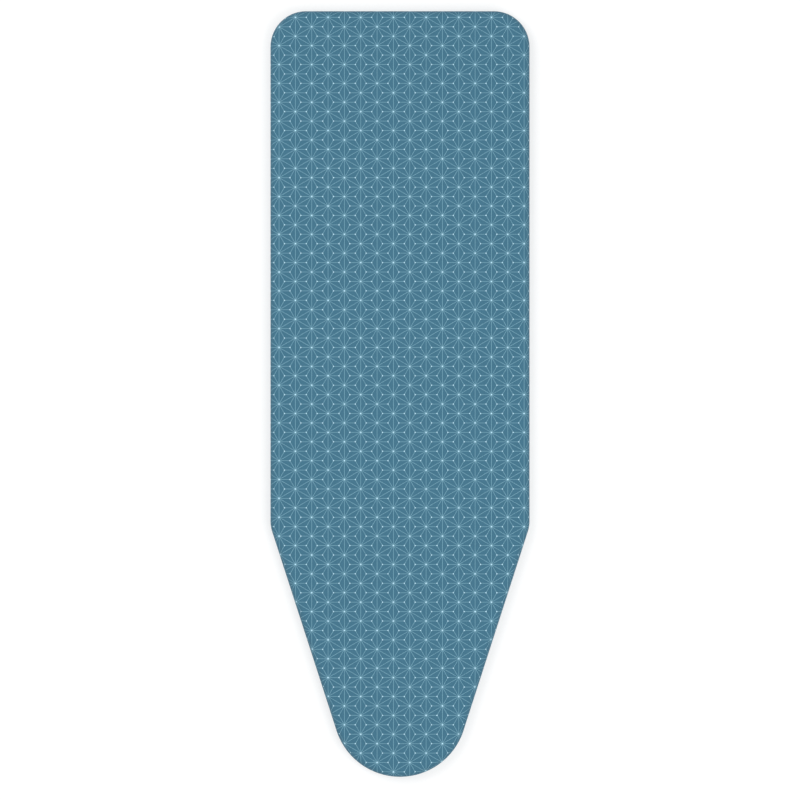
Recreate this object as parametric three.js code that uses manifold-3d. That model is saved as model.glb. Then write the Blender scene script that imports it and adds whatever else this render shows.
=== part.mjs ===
// Fitted ironing board cover: printed cotton over foam and felt, drawn in under the board by an
// elastic hem and held taut by three elastic straps with cam clips. Millimetres, +Z up. The origin
// is the middle of the footprint, +Y points at the square tail end and -Y at the rounded nose.
import * as THREE from "three";
import { mergeVertices } from "three/addons/utils/BufferGeometryUtils.js";
import Module from "manifold-3d";

const wasm = await Module();
wasm.setup();

// Plan of the cover, as it sits on its board
const coverLength = 1330;
const coverWidth = 450;
const tailCornerRadius = 62;
const shoulderFromTail = 895;
const shoulderRadius = 60;
const noseRadius = 116;

// Layers, from the ironing face down
const clothThickness = 0.8;
const foamThickness = 4;
const feltThickness = 4;
const boardThickness = 22;
const seatGap = 0.3;

// Rolled edge and the flange that turns in under the board
const topEdgeRadius = 12;
const rimRadius = 8;
const restBandWidth = 6;
const flangeWidth = 70;
const hemHeight = 9.4;
const hemCornerRadius = 64;
const hemShoulderRadius = 90;
const hemNoseRadius = 58;
const gatherDepth = 3;

// Hem tape folded round the cloth edge, with the elastic in its fold
const hemClearance = 0.5;
const tapeWidth = 15;
const tapeThickness = 0.6;
const elasticWidth = 6;
const elasticThickness = 0.8;

// Straps across the open underside
const strapWidth = 18;
const strapThickness = 1.2;
const strapFoldBack = 22;
const firstStrapFromHem = 120;
const strapPitch = 260;

// Cam clip, pressed from one gauge of sheet steel
const sheetThickness = 0.7;
const clipWidth = 24;
const clipReach = 9;
const clipCornerRadius = 3;
const slotWidth = 3.4;
const bailWidth = 3;
const pinRadius = 0.6;
const pinClearance = 0.15;
const pinHeadRadius = 1.2;
const pinHeadThickness = 0.5;
const jawPivotBehind = 21;
const jawPivotBelow = 1.2;
const leverPivotBehind = 6;
const earWidth = 7;
const earRadius = 1.9;
const camClosed = 2.5;
const camOpen = 1.45;
const leverLength = 18;
const leverLipLength = 2.5;
const leverLipDrop = 0.5;
const cheekLength = 7;
const jawLipLength = 1.5;
const jawLipDrop = 0.4;

// Toothed nylon shoe on the end of each jaw
const shoeThickness = 1;
const shoeLength = 8;
const toothDepth = 0.4;
const toothCount = 5;

// How finely each stretch of the outline, and each round edge, is stepped
const tailCornerSteps = 8;
const shoulderSteps = 3;
const noseSteps = 10;
const cornerGatherCount = 2;
const noseGatherCount = 5;
const edgeSteps = 4;
const rimSteps = 3;
const foldSteps = 4;
const circleSteps = 12;
const cornerSteps = 4;
const camSteps = 10;

// How far past the top the cam's curl runs, as a share of a quarter turn
const camEndShare = 1.2;
const halfTurn = Math.PI;
const quarterTurn = Math.PI / 2;

// One overrun serves every cut
const overrun = 2;

const cotton = new THREE.MeshStandardMaterial({ color: 0x4b7b93, roughness: 0.9 });
const foam = new THREE.MeshStandardMaterial({ color: 0xd8d6cf, roughness: 1 });
const felt = new THREE.MeshStandardMaterial({ color: 0xb9b8b4, roughness: 1 });
const tape = new THREE.MeshStandardMaterial({ color: 0x3c667c, roughness: 0.9 });
const elastic = new THREE.MeshStandardMaterial({ color: 0xeceae4, roughness: 0.9 });
const webbing = new THREE.MeshStandardMaterial({ color: 0xe6e4dd, roughness: 0.9 });
const steel = new THREE.MeshStandardMaterial({ color: 0xc4c6c8, roughness: 0.28, metalness: 1 });
const nylon = new THREE.MeshStandardMaterial({ color: 0xf1f0ea, roughness: 0.45 });

// Heights of the layers, worked out from the rim up
const boardTop = clothThickness + boardThickness;
const feltTop = boardTop + feltThickness;
const foamBottom = feltTop + seatGap;
const foamTop = foamBottom + foamThickness;
const coverHeight = foamTop + seatGap + clothThickness;

// The side line turns into the taper at the shoulder, and the taper is tangent to the nose
const shoulderY = coverLength / 2 - shoulderFromTail;
const noseCentreY = noseRadius - coverLength / 2;
const toNose = new THREE.Vector2(coverWidth / 2, shoulderY - noseCentreY);
const taperAngle = Math.atan2(toNose.x, toNose.y) - Math.asin(noseRadius / toNose.length());
const taperNormal = new THREE.Vector2(Math.cos(taperAngle), -Math.sin(taperAngle));

// Insets from the outline at which the flange starts, lies flat and ends
const flangeStart = rimRadius + restBandWidth;
const tapeStart = flangeWidth - tapeWidth;
const hemFlatStart = tapeStart - 2 * hemClearance;
const foldInside = flangeWidth - tapeThickness;
const elasticEnd = foldInside - hemClearance;
const elasticStart = elasticEnd - elasticWidth;
const clothEnd = elasticStart - hemClearance;
const hemHalf = Math.max(clothThickness, elasticThickness) / 2 + hemClearance + tapeThickness;

// A facet of the rolled edge lies this far inside its true curve
const edgeSag = topEdgeRadius * (1 - Math.cos(quarterTurn / edgeSteps / 2));

// A radius of the outline stays parallel as far as the rest band, then eases to its size at the hem.
function radiusAt(outer, atHem, inset) {
  const parallel = outer - Math.min(inset, flangeStart);
  const share = Math.max(0, inset - flangeStart) / (flangeWidth - flangeStart);
  return parallel + (atHem - (outer - flangeStart)) * share;
}

// Smooth step from 0 at the rest band to 1 where the hem lies flat.
function flangeRise(inset) {
  return THREE.MathUtils.smoothstep(inset, flangeStart, hemFlatStart);
}

// Where the right half of the outline turns, at an inset: the radius of each turn, its centre, and
// the points at which the straight stretches between them begin and end.
function outlineTurns(inset) {
  const corner = radiusAt(tailCornerRadius, hemCornerRadius, inset);
  const shoulder = radiusAt(shoulderRadius, hemShoulderRadius, inset);
  const nose = radiusAt(noseRadius, hemNoseRadius, inset);
  const sideX = coverWidth / 2 - inset;
  const tailY = coverLength / 2 - inset;
  const bendY = shoulderY + inset * Math.tan(taperAngle / 2);
  const reach = shoulder * Math.tan(taperAngle / 2);
  const taperOffset = taperNormal.x * sideX + taperNormal.y * bendY;
  const noseCentre = new THREE.Vector2(0, (nose - taperOffset) / Math.sin(taperAngle));
  return {
    corner,
    shoulder,
    nose,
    cornerCentre: new THREE.Vector2(sideX - corner, tailY - corner),
    shoulderCentre: new THREE.Vector2(sideX - shoulder, bendY + reach),
    noseCentre,
    tailMiddle: new THREE.Vector2(0, tailY),
    cornerTop: new THREE.Vector2(sideX - corner, tailY),
    cornerSide: new THREE.Vector2(sideX, tailY - corner),
    shoulderTop: new THREE.Vector2(sideX, bendY + reach),
    shoulderEnd: new THREE.Vector2(
      sideX - reach * Math.sin(taperAngle),
      bendY - reach * Math.cos(taperAngle),
    ),
    noseStart: taperNormal.clone().multiplyScalar(nose).add(noseCentre),
    noseTip: new THREE.Vector2(0, noseCentre.y - nose),
  };
}

// Points on the right half of the outline, from the middle of the tail to the tip of the nose. Each
// has a wave from -1 to 1, which lifts or drops the gathered cloth there.
function halfOutline(inset) {
  const at = outlineTurns(inset);
  const flat = (point) => ({ x: point.x, y: point.y, wave: 0 });
  const still = () => 0;
  const ruffle = (count) => (share) =>
    Math.sin(halfTurn * share) * Math.cos(2 * halfTurn * count * share);
  const noseRuffle = ruffle(noseGatherCount);
  function arc(centre, radius, start, end, count, wave) {
    return Array.from({ length: count }, (_, i) => {
      const angle = start + ((end - start) * i) / count;
      return {
        x: centre.x + radius * Math.cos(angle),
        y: centre.y + radius * Math.sin(angle),
        wave: wave(i / count),
      };
    });
  }
  return [
    flat(at.tailMiddle),
    ...arc(at.cornerCentre, at.corner, quarterTurn, 0, tailCornerSteps, ruffle(cornerGatherCount)),
    flat(at.cornerSide),
    ...arc(at.shoulderCentre, at.shoulder, 0, -taperAngle, shoulderSteps, still),
    flat(at.shoulderEnd),
    ...arc(at.noseCentre, at.nose, -taperAngle, -quarterTurn, noseSteps, (s) => noseRuffle(s / 2)),
    { ...flat(at.noseTip), wave: noseRuffle(1 / 2) },
  ];
}

// A closed ring of points round the cover, clockwise from above, mirrored about the long axis.
function ring(inset, height) {
  const lift = gatherDepth * flangeRise(inset);
  const right = halfOutline(inset).map(
    (p) => new THREE.Vector3(p.x, p.y, height + lift * p.wave),
  );
  const left = right
    .slice(1, -1)
    .reverse()
    .map((p) => new THREE.Vector3(-p.x, p.y, p.z));
  return [...right, ...left];
}

// A solid whose skin runs through rings of equal length. A capped one is closed by its first ring
// above and its last ring below, and otherwise the last ring joins the first.
function loft(rings, capped) {
  const count = rings[0].length;
  const positions = rings.flatMap((points) => points.flatMap((p) => [p.x, p.y, p.z]));
  const at = (row, i) => (row % rings.length) * count + (i % count);
  const faces = [];
  const strips = capped ? rings.length - 1 : rings.length;
  for (let row = 0; row < strips; row++) {
    for (let i = 0; i < count; i++) {
      faces.push(at(row, i), at(row, i + 1), at(row + 1, i));
      faces.push(at(row, i + 1), at(row + 1, i + 1), at(row + 1, i));
    }
  }
  function cap(row, up) {
    const face = (a, b, c) => faces.push(...(up ? [a, b, c] : [a, c, b]));
    for (let i = 0; i < count / 2; i++) {
      const right = at(row, i);
      const left = at(row, count - i);
      const nextRight = at(row, i + 1);
      const nextLeft = at(row, count - i - 1);
      if (left !== right) face(right, left, nextRight);
      if (nextLeft !== nextRight) face(left, nextLeft, nextRight);
    }
  }
  if (capped) {
    cap(0, true);
    cap(rings.length - 1, false);
  }
  return new THREE.BufferGeometry()
    .setAttribute("position", new THREE.Float32BufferAttribute(positions, 3))
    .setIndex(faces);
}

// Rings on the quarter round of the top edge, at an offset inside it, between two turns from upright.
function edgeRings(offset, fromTurn, toTurn, count, drawnIn = 0) {
  const radius = topEdgeRadius - offset;
  const middle = topEdgeRadius + drawnIn;
  const centre = coverHeight - topEdgeRadius;
  return Array.from({ length: count + 1 }, (_, i) => {
    const turn = fromTurn + ((toTurn - fromTurn) * i) / count;
    return ring(middle - radius * Math.sin(turn), centre + radius * Math.cos(turn));
  });
}

// Rings on the round of the rim where the cloth turns under, at an offset inside it.
function rimRings(offset) {
  const radius = rimRadius - offset;
  return Array.from({ length: rimSteps + 1 }, (_, i) => {
    const turn = (quarterTurn * i) / rimSteps;
    return ring(rimRadius - radius * Math.cos(turn), rimRadius - radius * Math.sin(turn));
  });
}

// The flange rises from the rest band to the hem, which lies flat inside the tape.
function flangeRings(offset) {
  const hemUnder = hemHeight - clothThickness / 2;
  const middle = (flangeStart + hemFlatStart) / 2;
  return [flangeStart, middle, hemFlatStart, clothEnd].map((inset) =>
    ring(inset, offset + hemUnder * flangeRise(inset)),
  );
}

function cottonCover() {
  const outside = [
    ...edgeRings(0, 0, quarterTurn, edgeSteps),
    ...rimRings(0),
    ...flangeRings(0),
  ];
  const inside = [
    ...edgeRings(clothThickness, 0, quarterTurn, edgeSteps),
    ...rimRings(clothThickness),
    ...flangeRings(clothThickness),
  ];
  return loft([...outside, ...inside.reverse()], true);
}

// A pad layer whose rounded edge nests inside the cloth.
function padLayer(top, bottom) {
  const offset = clothThickness + seatGap;
  const turnAt = (height) =>
    Math.acos((height - coverHeight + topEdgeRadius) / (topEdgeRadius - offset));
  const rings = edgeRings(offset, turnAt(top), turnAt(bottom), edgeSteps / 2, edgeSag);
  return loft(rings, true);
}

// Tape folded round the cloth edge, in section from the open side at the top to the one below.
function hemTape() {
  const innerHalf = hemHalf - tapeThickness;
  const outerHalf = hemHalf;
  const fold = Array.from({ length: foldSteps + 1 }, (_, i) => {
    const turn = (halfTurn * i) / foldSteps - quarterTurn;
    const inset = flangeWidth - outerHalf + outerHalf * Math.cos(turn);
    return ring(inset, hemHeight + outerHalf * Math.sin(turn));
  });
  return loft(
    [
      ...fold,
      ring(tapeStart, hemHeight + outerHalf),
      ring(tapeStart, hemHeight + innerHalf),
      ring(foldInside, hemHeight + innerHalf),
      ring(foldInside, hemHeight - innerHalf),
      ring(tapeStart, hemHeight - innerHalf),
      ring(tapeStart, hemHeight - outerHalf),
    ],
    false,
  );
}

// The tape is one length that goes all round the opening. It is cut where the hem turns, with a seat
// gap at each cut, so that every piece is a simple bar or bow.
function tapePieces() {
  const whole = solidOf(hemTape());
  const { cornerTop, cornerSide, shoulderTop, shoulderEnd, noseStart } = outlineTurns(flangeWidth);
  const bendY = (shoulderTop.y + shoulderEnd.y) / 2;
  const far = coverLength;
  function cut(fromX, toX, fromY, toY) {
    const region = shapeOf([
      [fromX, fromY],
      [toX, fromY],
      [toX, toY],
      [fromX, toY],
    ]);
    return geometryOf(whole.intersect(solidOf(planPrism(region, 0, coverHeight))));
  }
  return {
    tail: cut(-cornerTop.x, cornerTop.x, cornerSide.y, far),
    tail_right: cut(cornerTop.x + seatGap, far, cornerSide.y, far),
    tail_left: cut(-far, -cornerTop.x - seatGap, cornerSide.y, far),
    right: cut(0, far, bendY, cornerSide.y - seatGap),
    left: cut(-far, 0, bendY, cornerSide.y - seatGap),
    taper_right: cut(0, far, noseStart.y, bendY - seatGap),
    taper_left: cut(-far, 0, noseStart.y, bendY - seatGap),
    nose: cut(-far, far, -far, noseStart.y - seatGap),
  };
}

function hemElastic() {
  const high = hemHeight + elasticThickness / 2;
  const low = hemHeight - elasticThickness / 2;
  return loft(
    [
      ring(elasticEnd, low),
      ring(elasticEnd, high),
      ring(elasticStart, high),
      ring(elasticStart, low),
    ],
    false,
  );
}

// A polygon from pairs of numbers.
function shapeOf(points) {
  return new THREE.Shape(points.map(([x, y]) => new THREE.Vector2(x, y)));
}

// A side profile in (out, up), extruded along the hem between two places.
function sidePrism(shape, from, to) {
  return new THREE.ExtrudeGeometry(shape, {
    depth: to - from,
    bevelEnabled: false,
    curveSegments: cornerSteps,
  })
    .rotateX(quarterTurn)
    .translate(0, to, 0);
}

// A plan outline in (out, along), extruded upwards between two heights.
function planPrism(shape, from, to) {
  return new THREE.ExtrudeGeometry(shape, {
    depth: to - from,
    bevelEnabled: false,
    curveSegments: cornerSteps,
  }).translate(0, 0, from);
}

// A round bar along the hem.
function crossBar(out, up, radius, halfLength) {
  return new THREE.CylinderGeometry(radius, radius, 2 * halfLength, circleSteps).translate(
    out,
    0,
    up,
  );
}

function solidOf(geometry) {
  const bare = new THREE.BufferGeometry().setAttribute("position", geometry.getAttribute("position"));
  if (geometry.index) bare.setIndex(geometry.index);
  const merged = mergeVertices(bare);
  return new wasm.Manifold(
    new wasm.Mesh({
      numProp: 3,
      vertProperties: merged.attributes.position.array,
      triVerts: new Uint32Array(merged.index.array),
    }),
  );
}

function geometryOf(solid) {
  const mesh = solid.getMesh();
  return new THREE.BufferGeometry()
    .setAttribute("position", new THREE.BufferAttribute(mesh.vertProperties, 3))
    .setIndex(new THREE.BufferAttribute(mesh.triVerts, 1));
}

// Heights and reaches of the clip, measured from the middle of the hem's fold
const plateUnder = hemHalf + seatGap + shoeThickness + seatGap;
const plateTop = plateUnder + sheetThickness;
const leverPivotDrop = plateTop + seatGap + camClosed;
const jawBack = jawPivotBehind + earWidth / 2;
const slotFront = jawBack + seatGap + bailWidth / 2;
const slotBack = slotFront + slotWidth;
const plateBack = slotBack + bailWidth;
const earInside = clipWidth / 2 - sheetThickness;
const jawHalf = earInside - seatGap;
const leverHalf = jawHalf - seatGap;
const pinHole = pinRadius + pinClearance;

// Rounded rectangle in plan.
function roundedPlate(back, front, halfWidth, radius) {
  const shape = new THREE.Shape();
  shape.absarc(front - radius, halfWidth - radius, radius, 0, quarterTurn);
  shape.absarc(back + radius, halfWidth - radius, radius, quarterTurn, halfTurn);
  shape.absarc(back + radius, radius - halfWidth, radius, halfTurn, halfTurn + quarterTurn);
  shape.absarc(front - radius, radius - halfWidth, radius, -quarterTurn, 0);
  return shape;
}

// One ear of the clip plate, from the plate down round its pivot.
function ear(out, drop) {
  const shape = new THREE.Shape();
  shape.moveTo(out + earWidth / 2, plateTop);
  shape.lineTo(out - earWidth / 2, plateTop);
  shape.absarc(out, -drop, earRadius, halfTurn, 2 * halfTurn);
  return shape;
}

function clipPlate() {
  const outline = roundedPlate(-plateBack, clipReach, clipWidth / 2, clipCornerRadius);
  const slotHalf = strapWidth / 2 + seatGap;
  outline.holes.push(
    shapeOf([
      [-slotBack, -slotHalf],
      [-slotFront, -slotHalf],
      [-slotFront, slotHalf],
      [-slotBack, slotHalf],
    ]),
  );
  const pivots = [
    [-leverPivotBehind, leverPivotDrop],
    [-jawPivotBehind, jawPivotBelow],
  ];
  let body = solidOf(planPrism(outline, plateUnder, plateTop));
  for (const [out, drop] of pivots) {
    body = body
      .add(solidOf(sidePrism(ear(out, drop), earInside, clipWidth / 2)))
      .add(solidOf(sidePrism(ear(out, drop), -clipWidth / 2, -earInside)))
      .subtract(solidOf(crossBar(out, -drop, pinHole, clipWidth / 2 + overrun)));
  }
  return geometryOf(body);
}

// The lower jaw: a flat blade with a turned-down lip, hung on two tabs at the back.
function clipJaw() {
  const tabTop = earRadius - jawPivotBelow;
  const tabBack = -jawBack;
  const tabFront = earWidth / 2 - jawPivotBehind;
  const profile = shapeOf([
    [clipReach - jawLipLength, -plateUnder],
    [tabFront, -plateUnder],
    [-jawPivotBehind + earRadius, tabTop - earRadius / 2],
    [-jawPivotBehind + earRadius / 2, tabTop],
    [-jawPivotBehind - earRadius / 2, tabTop],
    [-jawPivotBehind - earRadius, tabTop - earRadius / 2],
    [tabBack, -plateUnder],
    [tabBack, -plateTop],
    [clipReach - jawLipLength, -plateTop],
    [clipReach, -plateTop - jawLipDrop],
    [clipReach, -plateUnder - jawLipDrop],
  ]);
  const tabInside = jawHalf - sheetThickness;
  const between = shapeOf([
    [tabBack - overrun, -plateUnder],
    [tabFront + overrun, -plateUnder],
    [tabFront + overrun, tabTop + overrun],
    [tabBack - overrun, tabTop + overrun],
  ]);
  const plan = roundedPlate(tabBack, clipReach, jawHalf, clipCornerRadius / 2);
  const body = solidOf(sidePrism(profile, -jawHalf, jawHalf))
    .intersect(solidOf(planPrism(plan, -plateTop - overrun, tabTop + overrun)))
    .subtract(solidOf(sidePrism(between, -tabInside, tabInside)))
    .subtract(solidOf(crossBar(-jawPivotBehind, -jawPivotBelow, pinHole, clipWidth / 2 + overrun)));
  return geometryOf(body);
}

// The cam swells evenly from its open radius at the front to its closed radius at the top.
function camRadius(turn) {
  const share = THREE.MathUtils.clamp(turn / quarterTurn, 0, 1);
  return camOpen + (camClosed - camOpen) * share;
}

// Points of the cam about its pivot, from the top round the front to the bottom.
function camCurve(inset) {
  const start = quarterTurn * camEndShare;
  return Array.from({ length: camSteps + 1 }, (_, i) => {
    const turn = start - ((start + quarterTurn) * i) / camSteps;
    const radius = camRadius(turn) - inset;
    return [radius * Math.cos(turn), radius * Math.sin(turn)];
  });
}

// The lever: sheet curled into a cam round its pin, with cheeks, and a flat handle with a lip.
function clipLever() {
  const lower = -camOpen;
  const upper = sheetThickness - camOpen;
  const outline = shapeOf([
    ...camCurve(0),
    [leverLipLength - leverLength, lower],
    [-leverLength, lower - leverLipDrop],
    [-leverLength, upper - leverLipDrop],
    [leverLipLength - leverLength, upper],
    [-cheekLength, upper],
  ]);
  const pocket = shapeOf([
    ...camCurve(sheetThickness),
    [-cheekLength - overrun, upper],
    [-cheekLength - overrun, camClosed + overrun],
    [-camClosed, camClosed + overrun],
  ]);
  const cheekInside = leverHalf - sheetThickness;
  const plan = roundedPlate(-leverLength, camClosed + overrun, leverHalf, clipCornerRadius / 2);
  const body = solidOf(sidePrism(outline, -leverHalf, leverHalf))
    .intersect(solidOf(planPrism(plan, -camClosed - overrun, camClosed + overrun)))
    .subtract(solidOf(sidePrism(pocket, -cheekInside, cheekInside)))
    .subtract(solidOf(crossBar(0, 0, pinHole, clipWidth / 2)));
  return geometryOf(body).translate(-leverPivotBehind, 0, -leverPivotDrop);
}

// A pin with a riveted head outside each ear.
function clipPin(out, drop) {
  const shaft = clipWidth / 2 + pinClearance;
  const end = shaft + pinHeadThickness;
  const profile = [
    [0, -end],
    [pinHeadRadius, -end],
    [pinHeadRadius, -shaft],
    [pinRadius, -shaft],
    [pinRadius, shaft],
    [pinHeadRadius, shaft],
    [pinHeadRadius, end],
    [0, end],
  ].map(([x, y]) => new THREE.Vector2(x, y));
  return new THREE.LatheGeometry(profile, circleSteps).translate(-out, 0, -drop);
}

// A nylon shoe hooked round the front of a jaw, with saw teeth towards the hem.
function gripShoe(side) {
  const bite = hemHalf + seatGap;
  const pitch = shoeLength / toothCount;
  const front = clipReach + seatGap + shoeThickness;
  const lipTop = plateTop + seatGap + shoeThickness;
  const lipBack = front - shoeLength / 2;
  const teeth = Array.from({ length: toothCount }, (_, i) => {
    const out = front - shoeLength + pitch * i;
    return [
      [out, bite + toothDepth],
      [out + pitch, bite],
    ];
  }).flat();
  const drop = side < 0 ? jawLipDrop : 0;
  const profile = [
    ...teeth,
    [front, lipTop + drop],
    [lipBack, lipTop + drop],
    [lipBack, plateTop + drop + seatGap],
    [clipReach + seatGap, plateTop + drop + seatGap],
    [clipReach + seatGap, plateUnder - seatGap],
    [front - shoeLength, plateUnder - seatGap],
  ];
  const turned = profile.map(([x, y]) => [x, side * y]);
  return sidePrism(shapeOf(turned), -jawHalf, jawHalf);
}

function piece(name, geometry, material) {
  const mesh = new THREE.Mesh(geometry, material);
  mesh.name = name;
  return mesh;
}

// A clip in its own frame: out towards the rim, along the hem, up. Its origin is the hem's fold.
function clip(name) {
  const group = new THREE.Group();
  group.add(
    piece(`${name}_clip_plate`, clipPlate(), steel),
    piece(`${name}_clip_jaw`, clipJaw(), steel),
    piece(`${name}_clip_lever`, clipLever(), steel),
    piece(`${name}_lever_pin`, clipPin(leverPivotBehind, leverPivotDrop), steel),
    piece(`${name}_jaw_pin`, clipPin(jawPivotBehind, jawPivotBelow), steel),
    piece(`${name}_upper_shoe`, gripShoe(1), nylon),
    piece(`${name}_lower_shoe`, gripShoe(-1), nylon),
  );
  return group;
}

// Elastic webbing looped through the bail of a clip at each end and sewn back on itself.
function strap() {
  const hemX = coverWidth / 2 - flangeWidth;
  const bailOuter = hemX - slotBack;
  const bailInner = hemX - plateBack;
  const bailHalf = sheetThickness / 2 + seatGap;
  const loopHalf = bailHalf + strapThickness;
  const loopEnd = bailOuter + seatGap + strapThickness;
  const loopStart = bailInner - seatGap - loopHalf;
  const foldEnd = loopStart - strapFoldBack;
  const upper = [
    [foldEnd, strapThickness / 2],
    [loopStart, strapThickness],
    [bailInner - seatGap, loopHalf],
    [loopEnd - strapThickness / 2, loopHalf],
    [loopEnd, loopHalf - strapThickness / 2],
  ];
  const lower = [
    [loopEnd, strapThickness / 2 - loopHalf],
    [loopEnd - strapThickness / 2, -loopHalf],
    [bailInner - seatGap, -loopHalf],
    [loopStart, -strapThickness],
    [foldEnd, -strapThickness],
    [foldEnd, -strapThickness / 2],
  ];
  const right = [...upper, ...lower];
  const left = right.map(([x, y]) => [-x, y]).reverse();
  const outline = shapeOf([...right, ...left].reverse());
  for (const side of [1, -1]) {
    outline.holes.push(
      shapeOf([
        [side * (bailInner - seatGap), -bailHalf],
        [side * (bailOuter + seatGap), -bailHalf],
        [side * (bailOuter + seatGap), bailHalf],
        [side * (bailInner - seatGap), bailHalf],
      ]),
    );
  }
  return sidePrism(outline, -strapWidth / 2, strapWidth / 2);
}

const part = new THREE.Group();
part.add(
  piece("cotton_cover", cottonCover(), cotton),
  piece("foam_layer", padLayer(foamTop, foamBottom), foam),
  piece("felt_underlay", padLayer(feltTop, boardTop), felt),
  piece("hem_elastic", hemElastic(), elastic),
);

for (const [name, length] of Object.entries(tapePieces())) {
  part.add(piece(`hem_tape_${name}`, length, tape));
}

["tail", "middle", "shoulder"].forEach((place, i) => {
  const y = coverLength / 2 - flangeWidth - firstStrapFromHem - strapPitch * i;
  const band = piece(`${place}_strap`, strap(), webbing);
  band.position.set(0, y, hemHeight + plateUnder + sheetThickness / 2);
  part.add(band);
  for (const [side, name] of [[1, "right"], [-1, "left"]]) {
    const grip = clip(`${place}_${name}`);
    grip.position.set(side * (coverWidth / 2 - flangeWidth), y, hemHeight);
    grip.rotation.z = side > 0 ? 0 : halfTurn;
    part.add(grip);
  }
});

export default part;
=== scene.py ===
"""Looks of a fitted ironing board cover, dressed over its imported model.

Printed cotton lies over a foam and a felt pad. Its flange turns in under the board and is gathered
by an elastic in a folded tape, and three webbing straps with cam clips pull the hem taut. Metres,
+Z up, +Y towards the square tail end and -Y towards the rounded nose.
"""

from __future__ import annotations

import logging
import math
from collections.abc import Callable, Iterator, Sequence
from contextlib import contextmanager
from dataclasses import dataclass, field
from enum import Enum
from functools import partial

import bpy
import numpy as np
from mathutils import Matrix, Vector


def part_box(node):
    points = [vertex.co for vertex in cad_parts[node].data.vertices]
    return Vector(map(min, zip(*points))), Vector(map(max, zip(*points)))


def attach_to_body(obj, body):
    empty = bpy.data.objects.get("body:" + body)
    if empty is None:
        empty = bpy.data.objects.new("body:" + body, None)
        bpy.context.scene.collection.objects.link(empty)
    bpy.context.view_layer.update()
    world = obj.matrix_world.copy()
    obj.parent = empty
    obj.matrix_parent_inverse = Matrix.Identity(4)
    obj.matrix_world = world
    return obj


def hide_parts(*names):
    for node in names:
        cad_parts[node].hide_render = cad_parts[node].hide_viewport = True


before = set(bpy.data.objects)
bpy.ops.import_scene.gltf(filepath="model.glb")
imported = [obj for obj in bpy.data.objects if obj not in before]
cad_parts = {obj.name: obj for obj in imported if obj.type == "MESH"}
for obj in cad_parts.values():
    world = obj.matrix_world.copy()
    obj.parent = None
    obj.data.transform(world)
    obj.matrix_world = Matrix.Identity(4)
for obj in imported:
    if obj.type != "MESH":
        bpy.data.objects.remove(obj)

LOG = logging.getLogger("ironing_board_cover")
CLOTH_UV = "cloth"
QUARTER = math.pi / 2
MERGE_DISTANCE = 1e-6
Piece = bpy.types.Object
Material = bpy.types.Material
Pair = tuple[float, float]
Colour = tuple[float, float, float, float]


class Side(Enum):
    """The two long sides of the cover, by the sign of X."""

    RIGHT = 1
    LEFT = -1


class Place(Enum):
    """The three straps, by their distance along the cover."""

    TAIL = 0.475
    MIDDLE = 0.215
    SHOULDER = -0.045


class ClothFace(Enum):
    """Material slots of the printed cotton."""

    PRINTED = 0
    WRONG_SIDE = 1


def smoothstep(
    value: np.ndarray | float, start: np.ndarray | float, end: np.ndarray | float
) -> np.ndarray | float:
    """Ease from 0 at start to 1 at end."""
    share = np.clip((value - start) / (end - start), 0.0, 1.0)
    return share * share * (3 - 2 * share)


@dataclass(frozen=True)
class Outline:
    """Stations along a stretch of the cover's edge, seen from above."""

    points: np.ndarray
    facing: np.ndarray
    wave: np.ndarray
    fullness: np.ndarray

    @staticmethod
    def line(start: Pair, end: Pair, count: int) -> Outline:
        """Stations evenly along a straight stretch, without its end.

        Args:
            start: First point.
            end: Point that the next stretch starts at.
            count: How many stations.

        Returns:
            The stretch, which faces left of its direction of travel.
        """
        first, last = np.array(start, float), np.array(end, float)
        shares = np.arange(count)[:, None] / count
        along = (last - first) / np.linalg.norm(last - first)
        facing = np.tile((-along[1], along[0]), (count, 1))
        return Outline(first + (last - first) * shares, facing, np.zeros(count), np.zeros(count))

    @staticmethod
    def arc(
        centre: Pair, radius: float, turns: Pair, count: int, waves: int = 0, span: float = 1.0
    ) -> Outline:
        """Stations evenly round an arc, without its end.

        Args:
            centre: Middle of the arc.
            radius: Its radius.
            turns: First and last angle from +X.
            count: How many stations.
            waves: How many times the gathered cloth rises in the whole curve.
            span: Share of that curve which the arc covers.

        Returns:
            The stretch, which faces away from the centre.
        """
        shares = np.arange(count) / count
        angles = turns[0] + (turns[1] - turns[0]) * shares
        facing = np.stack([np.cos(angles), np.sin(angles)], axis=1)
        full = np.sin(math.pi * span * shares) if waves else np.zeros(count)
        wave = full * np.cos(2 * math.pi * waves * span * shares)
        return Outline(np.array(centre) + radius * facing, facing, wave, full)

    @staticmethod
    def joined(stretches: Sequence[Outline]) -> Outline:
        """One outline from stretches that follow each other."""
        return Outline(*(np.concatenate(v) for v in zip(*(s.values() for s in stretches))))

    def values(self) -> tuple[np.ndarray, ...]:
        """Everything that is known of the stations, in the order of the fields."""
        return self.points, self.facing, self.wave, self.fullness

    def only(self, stations: np.ndarray) -> Outline:
        """The stretch at some of the stations, by their numbers."""
        return Outline(*(values[stations] for values in self.values()))

    def mirrored(self) -> Outline:
        """The whole ring, clockwise from above, from its right half.

        Returns:
            The closed ring.
        """
        left = self.only(np.arange(len(self.wave) - 2, 0, -1))
        flip = np.array([-1.0, 1.0])
        left = Outline(left.points * flip, left.facing * flip, left.wave, left.fullness)
        return Outline.joined([self, left])


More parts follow.
